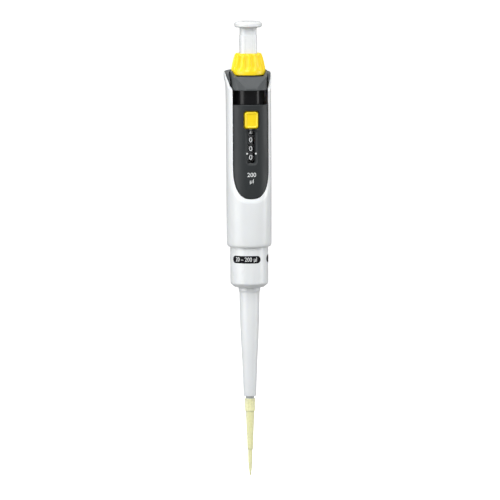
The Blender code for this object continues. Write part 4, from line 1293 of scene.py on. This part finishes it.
# ---------------------------------------------------------------- pipetting key
def build_key():
    """White disc on a square stem whose upper end is a little slimmer."""
    disc_low, disc_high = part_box("key_cap")
    radius = disc_high.x
    bottom, top = disc_low.z, disc_high.z
    profile = filleted(
        [
            (0.0, bottom, 0.0),
            (radius - 0.9 * MM, bottom, 0.3 * MM),
            (radius, bottom + 0.7 * MM, 0.6 * MM),
            (radius, top - 1.3 * MM, 0.7 * MM),
            (radius - 1.35 * MM, top, 0.9 * MM),
            (0.0, top, 0.0),
        ],
        6,
    )
    surface = Surface()
    surface.grid([ring(reach, z, 128) for reach, z in profile], wrap_columns=True)
    place("key_disc", surface.mesh("key_disc"), "white_key", "key", ["key_cap"], sharp=50.0)

    stem_low, stem_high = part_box("key_stem")
    half_width = stem_high.x
    levels = [
        (stem_low.z, 0.3),
        (stem_low.z + 0.3 * MM, 0.0),
        (stem_high.z - 5.2 * MM, 0.0),
        (stem_high.z - 4.7 * MM, 0.06),
        (stem_high.z - 4.4 * MM, 0.3),
        (stem_high.z - 1.2 * MM, 0.32),
        (stem_high.z - 0.5 * MM, 0.2),
        (stem_high.z, -0.1),
    ]
    loops = []
    for z, inset in levels:
        loops.append([(x, y, z) for x, y in stem_outline(half_width - inset * MM)])
    place("square_stem", capped_loft("square_stem", loops), "white_key", "key", ["key_stem"], sharp=25.0)


STEM_FACE = (
    # place along a flat face as a share of its half length, and depth in millimetres
    (-0.96, 0.0),
    (-0.90, 0.16),
    (-0.82, 0.16),
    (-0.76, 0.0),
    (-0.3, 0.0),
    (0.3, 0.0),
    (0.76, 0.0),
    (0.82, 0.16),
    (0.90, 0.16),
    (0.96, 0.0),
)


def stem_outline(half_width):
    """Square with round corners and two shallow grooves in each flat face."""
    points = []
    corner = 2.9 * MM
    flat = half_width - corner
    for quarter in range(4):
        turn = quarter * math.pi / 2.0
        cosine, sine = round(math.cos(turn)), round(math.sin(turn))
        face = [(flat * share, -half_width + depth * MM) for share, depth in STEM_FACE]
        for step in range(9):
            angle = -math.pi / 2.0 + math.pi / 2.0 * step / 8.0
            face.append((flat + corner * math.cos(angle), -flat + corner * math.sin(angle)))
        points += [(x * cosine - y * sine, x * sine + y * cosine) for x, y in face]
    return points


# ---------------------------------------------------------------- release button
def build_button():
    """Yellow cap with a raised rim round a slightly sunken face, and its flange."""
    centre = BUTTON_Z
    face_y = BUTTON_LOW.y
    back_y = BUTTON_HIGH.y
    half_width, half_height = 4.25, 5.25
    layers = [
        (1.9, 0.42, 0.40),
        (1.45, 0.40, 0.6),
        (1.15, 0.28, 0.9),
        (0.90, 0.06, 1.0),
        (0.65, 0.0, 1.1),
        (0.40, 0.06, 1.2),
        (0.18, 0.24, 1.35),
        (0.04, 0.52, 1.45),
        (0.0, 0.9, 1.5),
    ]
    rings = []
    for inset, sink, corner in layers:
        outline = rounded_rectangle((half_width - inset) * MM, (half_height - inset) * MM, corner * MM)
        rings.append([(x, face_y + sink * MM, z + centre) for x, z in outline])
    for grow, rise in ((0.0, 0.35), (0.5, 0.30), (0.6, 0.2), (0.6, 0.0)):
        y = back_y - rise * MM
        outline = rounded_rectangle((half_width + grow) * MM, (half_height + grow) * MM, 1.6 * MM)
        rings.append([(x, y, z + centre) for x, z in outline])
    mesh = capped_loft("lock_button", rings)
    place("lock_button", mesh, "yellow_plastic", "lock", ["release_button"], sharp=50.0)


# ---------------------------------------------------------------- guide tube, collar, sleeve, shaft
def build_guide_tube():
    bottom, top = low("inner_sleeve").z, high("inner_sleeve").z
    corners = [
        (8.7 * MM, bottom, 0.1 * MM),
        (10.55 * MM, bottom, 0.2 * MM),
        (10.55 * MM, bottom + 1.7 * MM, 0.2 * MM),
        (10.2 * MM, bottom + 2.0 * MM, 0.15 * MM),
        (10.2 * MM, top, 0.35 * MM),
        (8.7 * MM, top, 0.2 * MM),
    ]
    turned_piece("guide_tube", corners, "gloss_black", "handle", "inner_sleeve", 128)


def build_collar():
    """White cup with a rounded foot, and the volume label repeated three times round it."""
    bottom, top = COLLAR_LOW.z, COLLAR_HIGH.z
    radius = COLLAR_HIGH.x
    corners = [
        (6.3 * MM, bottom, 0.15 * MM),
        (9.6 * MM, bottom, 0.8 * MM),
        (radius, bottom + 2.4 * MM, 1.9 * MM),
        (radius, top, 0.3 * MM),
        (10.9 * MM, top, 0.2 * MM),
        (10.9 * MM, bottom + 2.0 * MM, 0.3 * MM),
        (6.3 * MM, bottom + 2.0 * MM, 0.1 * MM),
    ]
    turned_piece("collar_cup", corners, "white_ejector", "ejector", "ejector_collar", 128, 8)
    label_z = bottom + 18.6 * MM
    for turn in range(3):
        build_label(turn, math.radians(-17.5 + 120.0 * turn), label_z, radius)


def build_label(number, middle, height, radius):
    """A black capsule with the volume range in white."""
    half_length = radius * math.radians(46.5)
    half_height = 2.4 * MM
    skin = 0.06 * MM
    rows, columns = 8, 40
    straight = half_length - half_height
    flat = []
    for row in range(rows + 1):
        across = -math.cos(math.pi * row / rows)
        reach = straight + half_height * math.sqrt(max(1.0 - across**2, 0.0))
        along = [-math.cos(math.pi * column / columns) for column in range(columns + 1)]
        flat.append([(share * reach, across * half_height) for share in along])
    bend = round_the_axis(radius, middle, height)
    surface = Surface()
    borders = []
    for lift, flip in ((skin, False), (-0.25 * MM, True)):
        placed = [[bend(x, y, lift) for x, y in line] for line in flat]
        surface.grid(placed, flip=flip)
        border = label_border(placed)
        borders.append(border + border[:1])
    surface.strip(*borders)
    name = f"label_{number + 1}"
    place(name, surface.mesh(name, 0.0005 * MM), "drum_plastic", "ejector", material=INK_BLACK, sharp=50.0)

    words = text_mesh(f"label_print_{number + 1}", "20 – 200 µl", LETTER_SIZE)
    squeeze_text(words, 14.6 * MM)
    bend_text(words, round_the_axis(radius + skin + 0.02 * MM, middle, height))
    place(words.name, words, "seal_white", "ejector", material=INK_WHITE, sharp=60.0)


def label_border(rows):
    """The border of a grid as one line of points."""
    right = [row[-1] for row in rows]
    left = [row[0] for row in rows]
    return rows[0][:-1] + right[:-1] + rows[-1][:0:-1] + left[:0:-1]


def build_sleeve():
    """Slim tapered ejector sleeve with its neck ring."""
    base = SLEEVE_LOW.z
    corners = scaled(
        [
            (3.4, 0.0, 0.08),
            (4.15, 0.0, 0.25),
            (4.65, 15.3, 0.0),
            (4.86, 20.0, 0.0),
            (5.1, 25.0, 0.0),
            (5.7, 36.0, 0.0),
            (6.3, 52.0, 0.0),
            (6.50, 63.0, 0.0),
            (6.56, 67.6, 0.4),
            (7.1, 69.0, 0.35),
            (7.1, 70.9, 0.15),
            (6.0, 70.9, 0.1),
            (6.0, 74.0, 0.2),
            (5.4, 74.0, 0.1),
            (5.4, 65.5, 0.2),
        ],
        base,
    )
    turned_piece("taper_sleeve", corners, "white_ejector", "ejector", "ejector_sleeve", 96, 5, 40.0)


def build_shaft():
    """Shaft unit with the tip cone: two shallow sealing rings near its end."""
    base = low("tip_cone_shaft").z
    corners = scaled(
        [
            (6.0, 94.2, 0.15),
            (6.0, 87.2, 0.1),
            (3.75, 87.2, 0.1),
            (3.75, 75.2, 0.1),
            (2.55, 75.2, 0.1),
            (2.55, 28.2, 0.1),
            (1.0, 25.2, 0.1),
            (1.0, 0.0, 0.1),
            (2.26, 0.0, 0.15),
            (2.34, 1.6, 0.1),
            (2.24, 1.9, 0.1),
            (2.27, 2.6, 0.1),
            (2.40, 2.9, 0.1),
            (2.60, 6.6, 0.0),
            (2.9, 8.2, 0.0),
            (5.0, 73.2, 0.2),
            (5.0, 84.2, 0.2),
            (7.0, 84.2, 0.2),
            (7.0, 94.2, 0.2),
        ],
        base,
    )
    turned_piece("shaft_unit", corners, "shaft_plastic", "handle", "tip_cone_shaft", 80, sharp=40.0)


# ---------------------------------------------------------------- tip
def build_tip():
    """Yellow tip: smooth lower cone, a step, an upper cone and a socket with fine ribs."""
    ribs = 12
    collar_z = TIP_HIGH.z - 7.6 * MM

    def ribbing(radius, z, angle):
        on_collar = smoothstep((z - collar_z - 0.3 * MM) / (0.5 * MM)) * smoothstep(
            (TIP_HIGH.z - 0.9 * MM - z) / (0.4 * MM)
        )
        if radius < 2.9 * MM:
            return 0.0
        ridge = max(math.cos(ribs * angle), 0.0) ** 3
        return -0.22 * MM * on_collar * (1.0 - ridge)

    corners = scaled(
        [
            (0.26, 0.0, 0.03),
            (0.5, 0.0, 0.06),
            (1.07, 4.9, 0.0),
            (1.17, 7.3, 0.0),
            (1.30, 7.7, 0.1),
            (1.37, 8.9, 0.0),
            (1.46, 16.6, 0.2),
            (1.88, 17.7, 0.2),
            (1.95, 20.5, 0.0),
            (2.27, 28.3, 0.0),
            (2.55, 35.0, 0.0),
            (2.78, 41.6, 0.2),
            (3.30, 42.6, 0.2),
            (3.33, 43.3, 0.0),
            (3.34, 44.0, 0.0),
            (3.34, 46.0, 0.0),
            (3.35, 48.5, 0.0),
            (3.35, 49.2, 0.0),
            (3.35, 49.7, 0.0),
            (3.35, 50.4, 0.15),
            (2.74, 50.4, 0.12),
            (2.44, 43.6, 0.1),
            (2.05, 41.0, 0.2),
            (1.75, 28.3, 0.0),
            (1.4, 18.5, 0.2),
            (0.95, 16.6, 0.2),
            (0.85, 8.8, 0.0),
            (0.55, 4.9, 0.0),
        ]
    )
    turned_piece("yellow_tip", corners, "tip_plastic", "tip", "pipette_tip", 96, 5, 35.0, ribbing)


# ---------------------------------------------------------------- springs
def spring_mesh(name, radius, wire, bottom, top, turns, centre_y=0.0):
    """Compression spring with closed, flat-lying end turns."""
    steps_per_turn, sides = 28, 10
    total = turns + 2.0
    steps = int(total * steps_per_turn)
    rise = top - bottom - 4.0 * wire
    loops = []
    for step in range(steps + 1):
        turn = total * step / steps
        active = min(max(turn - 1.0, 0.0), turns) / turns
        ends = min(turn, 1.0) + max(turn - turns - 1.0, 0.0)
        z = bottom + wire + rise * active + ends * wire
        angle = 2.0 * math.pi * turn
        outward = Vector((math.cos(angle), math.sin(angle), 0.0))
        centre = outward * radius + Vector((0.0, centre_y, z))
        loop = []
        for side in range(sides):
            spin = 2.0 * math.pi * side / sides
            offset = outward * math.cos(spin) * wire + Vector((0.0, 0.0, math.sin(spin) * wire))
            loop.append(tuple(centre + offset))
        loops.append(loop)
    return capped_loft(name, loops)


def build_springs():
    beside_rod = low("ejector_rod").y + 1.0 * MM
    coils = (
        ("piston_coil", "piston_spring", 4.6, 0.4, 7.5, 0.0, "key_press", 0.48),
        ("ejector_coil", "ejector_spring", 1.45, 0.22, 9.0, beside_rod, "ejector_press", 0.73),
        ("blowout_coil", "blowout_spring", 5.4, 0.5, 3.5, 0.0, None, 1.0),
    )
    for name, node, radius, wire, turns, centre_y, joint, keep in coils:
        bottom, top = low(node).z, high(node).z
        mesh = spring_mesh(name, radius * MM, wire * MM, bottom, top, turns, centre_y)
        piece = place(name, mesh, "steel", "handle", [node], sharp=60.0)
        if joint:
            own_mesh(piece)


# ---------------------------------------------------------------- inner pieces kept from the CAD
def dress_kept_nodes():
    """Give every CAD node that still shows its procedural material."""
    slots = {entry["node"]: entry["material_slot"] for entry in frame["record"]["subparts"]}
    for name, node in frame["nodes"].items():
        if node.hide_render:
            continue
        material = FINISH[slots[name]]
        for index in range(len(node.material_slots)):
            node.material_slots[index].material = material
        if not node.material_slots:
            node.data.materials.append(material)


# ---------------------------------------------------------------- stage
def stage_material():
    """Pale sweep that glows, so that it reads as white."""
    shader = Shader("stage_look")
    shader.colour(shader.mixed(shader.noise(0.2), (0.90, 0.90, 0.90), (0.93, 0.93, 0.93)))
    shader.roughness(shader.ramp(shader.noise(0.05), 0.55, 0.7))
    shader.principled.inputs["Emission Color"].default_value = (1.0, 1.0, 1.0, 1.0)
    shader.set(Emission_Strength=0.75)
    return shader.material


def build_stage():
    """Floor below the tip's lowest place, curving up into a far backdrop all round."""
    bend = ((0.0, 0.0), (0.5, 0.0), (2.0, 0.0), (4.5, 0.0), (5.4, 0.12), (5.9, 0.6), (6.0, 1.5), (6.0, 6.0))
    rows = [ring(radius, z - FLOOR_DROP, 64) for radius, z in bend]
    surface = Surface()
    surface.grid(rows, wrap_columns=True, flip=True)
    mesh = surface.mesh("sweep")
    mesh.shade_smooth()
    mesh.materials.append(stage_material())
    floor = bpy.data.objects.new("sweep", mesh)
    bpy.context.scene.collection.objects.link(floor)
    floor.visible_glossy = False
    floor.visible_diffuse = False


def add_area_light(name, azimuth, elevation, distance, size, power):
    """A rectangular soft box that looks at the pipette; azimuth 0 is in front of it."""
    light = bpy.data.lights.new(name, "AREA")
    light.shape = "RECTANGLE"
    light.size, light.size_y = size
    light.energy = power
    lamp = bpy.data.objects.new(name, light)
    around, up = math.radians(azimuth), math.radians(elevation)
    back = Vector((math.sin(around) * math.cos(up), -math.cos(around) * math.cos(up), math.sin(up)))
    lamp.location = Vector((0.0, 0.0, LIGHT_HEIGHT)) + back * distance
    lamp.rotation_mode = "QUATERNION"
    lamp.rotation_quaternion = back.to_track_quat("Z", "Y")
    bpy.context.scene.collection.objects.link(lamp)


def build_lights():
    add_area_light("left_box", -64.0, 8.0, 1.1, (0.85, 0.9), 6.4)
    add_area_light("right_box", 74.0, 6.0, 1.1, (0.50, 0.9), 5.2)
    add_area_light("top_box", -14.0, 50.0, 1.3, (0.9, 0.9), 12.5)
    add_area_light("back_box", 180.0, 50.0, 1.4, (1.0, 0.8), 8.0)
    world = bpy.data.worlds.new("studio")
    world.use_nodes = True
    background = world.node_tree.nodes["Background"]
    background.inputs["Color"].default_value = (1.0, 1.0, 1.0, 1.0)
    rays = world.node_tree.nodes.new("ShaderNodeLightPath")
    dimmed = world.node_tree.nodes.new("ShaderNodeMapRange")
    dimmed.inputs["To Min"].default_value = 0.36
    dimmed.inputs["To Max"].default_value = 1.0
    world.node_tree.links.new(rays.outputs["Is Camera Ray"], dimmed.inputs["Value"])
    world.node_tree.links.new(dimmed.outputs["Result"], background.inputs["Strength"])
    bpy.context.scene.world = world


def build_camera():
    """Long lens at the photograph's angle: a little from the left and from above."""
    azimuth, elevation = math.radians(-7.0), math.radians(6.0)
    distance = 4.0
    picture_width = 0.3232
    middle = (cad_box[0].z + cad_box[1].z) / 2.0 - 0.6 * MM
    target = Vector((0.5 * MM, 0.0, middle))
    back = Vector(
        (
            math.sin(azimuth) * math.cos(elevation),
            -math.cos(azimuth) * math.cos(elevation),
            math.sin(elevation),
        )
    )
    camera = bpy.data.cameras.new("camera")
    camera.sensor_width = 36.0
    camera.lens = camera.sensor_width * distance / picture_width
    camera.clip_start = 0.1
    camera.clip_end = 50.0
    holder = bpy.data.objects.new("camera", camera)
    holder.location = target + back * distance
    holder.rotation_mode = "QUATERNION"
    roll = Quaternion((0.0, 0.0, 1.0), math.radians(-0.3))
    holder.rotation_quaternion = back.to_track_quat("Z", "Y") @ roll
    bpy.context.scene.collection.objects.link(holder)
    bpy.context.scene.camera = holder
    bpy.context.scene.view_settings.view_transform = "Standard"


build_housing()
build_panel()
build_drums()
build_rest_lining()
build_guide_tube()
build_crown()
build_wheel()
build_key()
build_button()
build_collar()
build_sleeve()
build_shaft()
build_tip()
build_springs()
dress_kept_nodes()
build_stage()
build_lights()
build_camera()

bpy.context.view_layer.update()
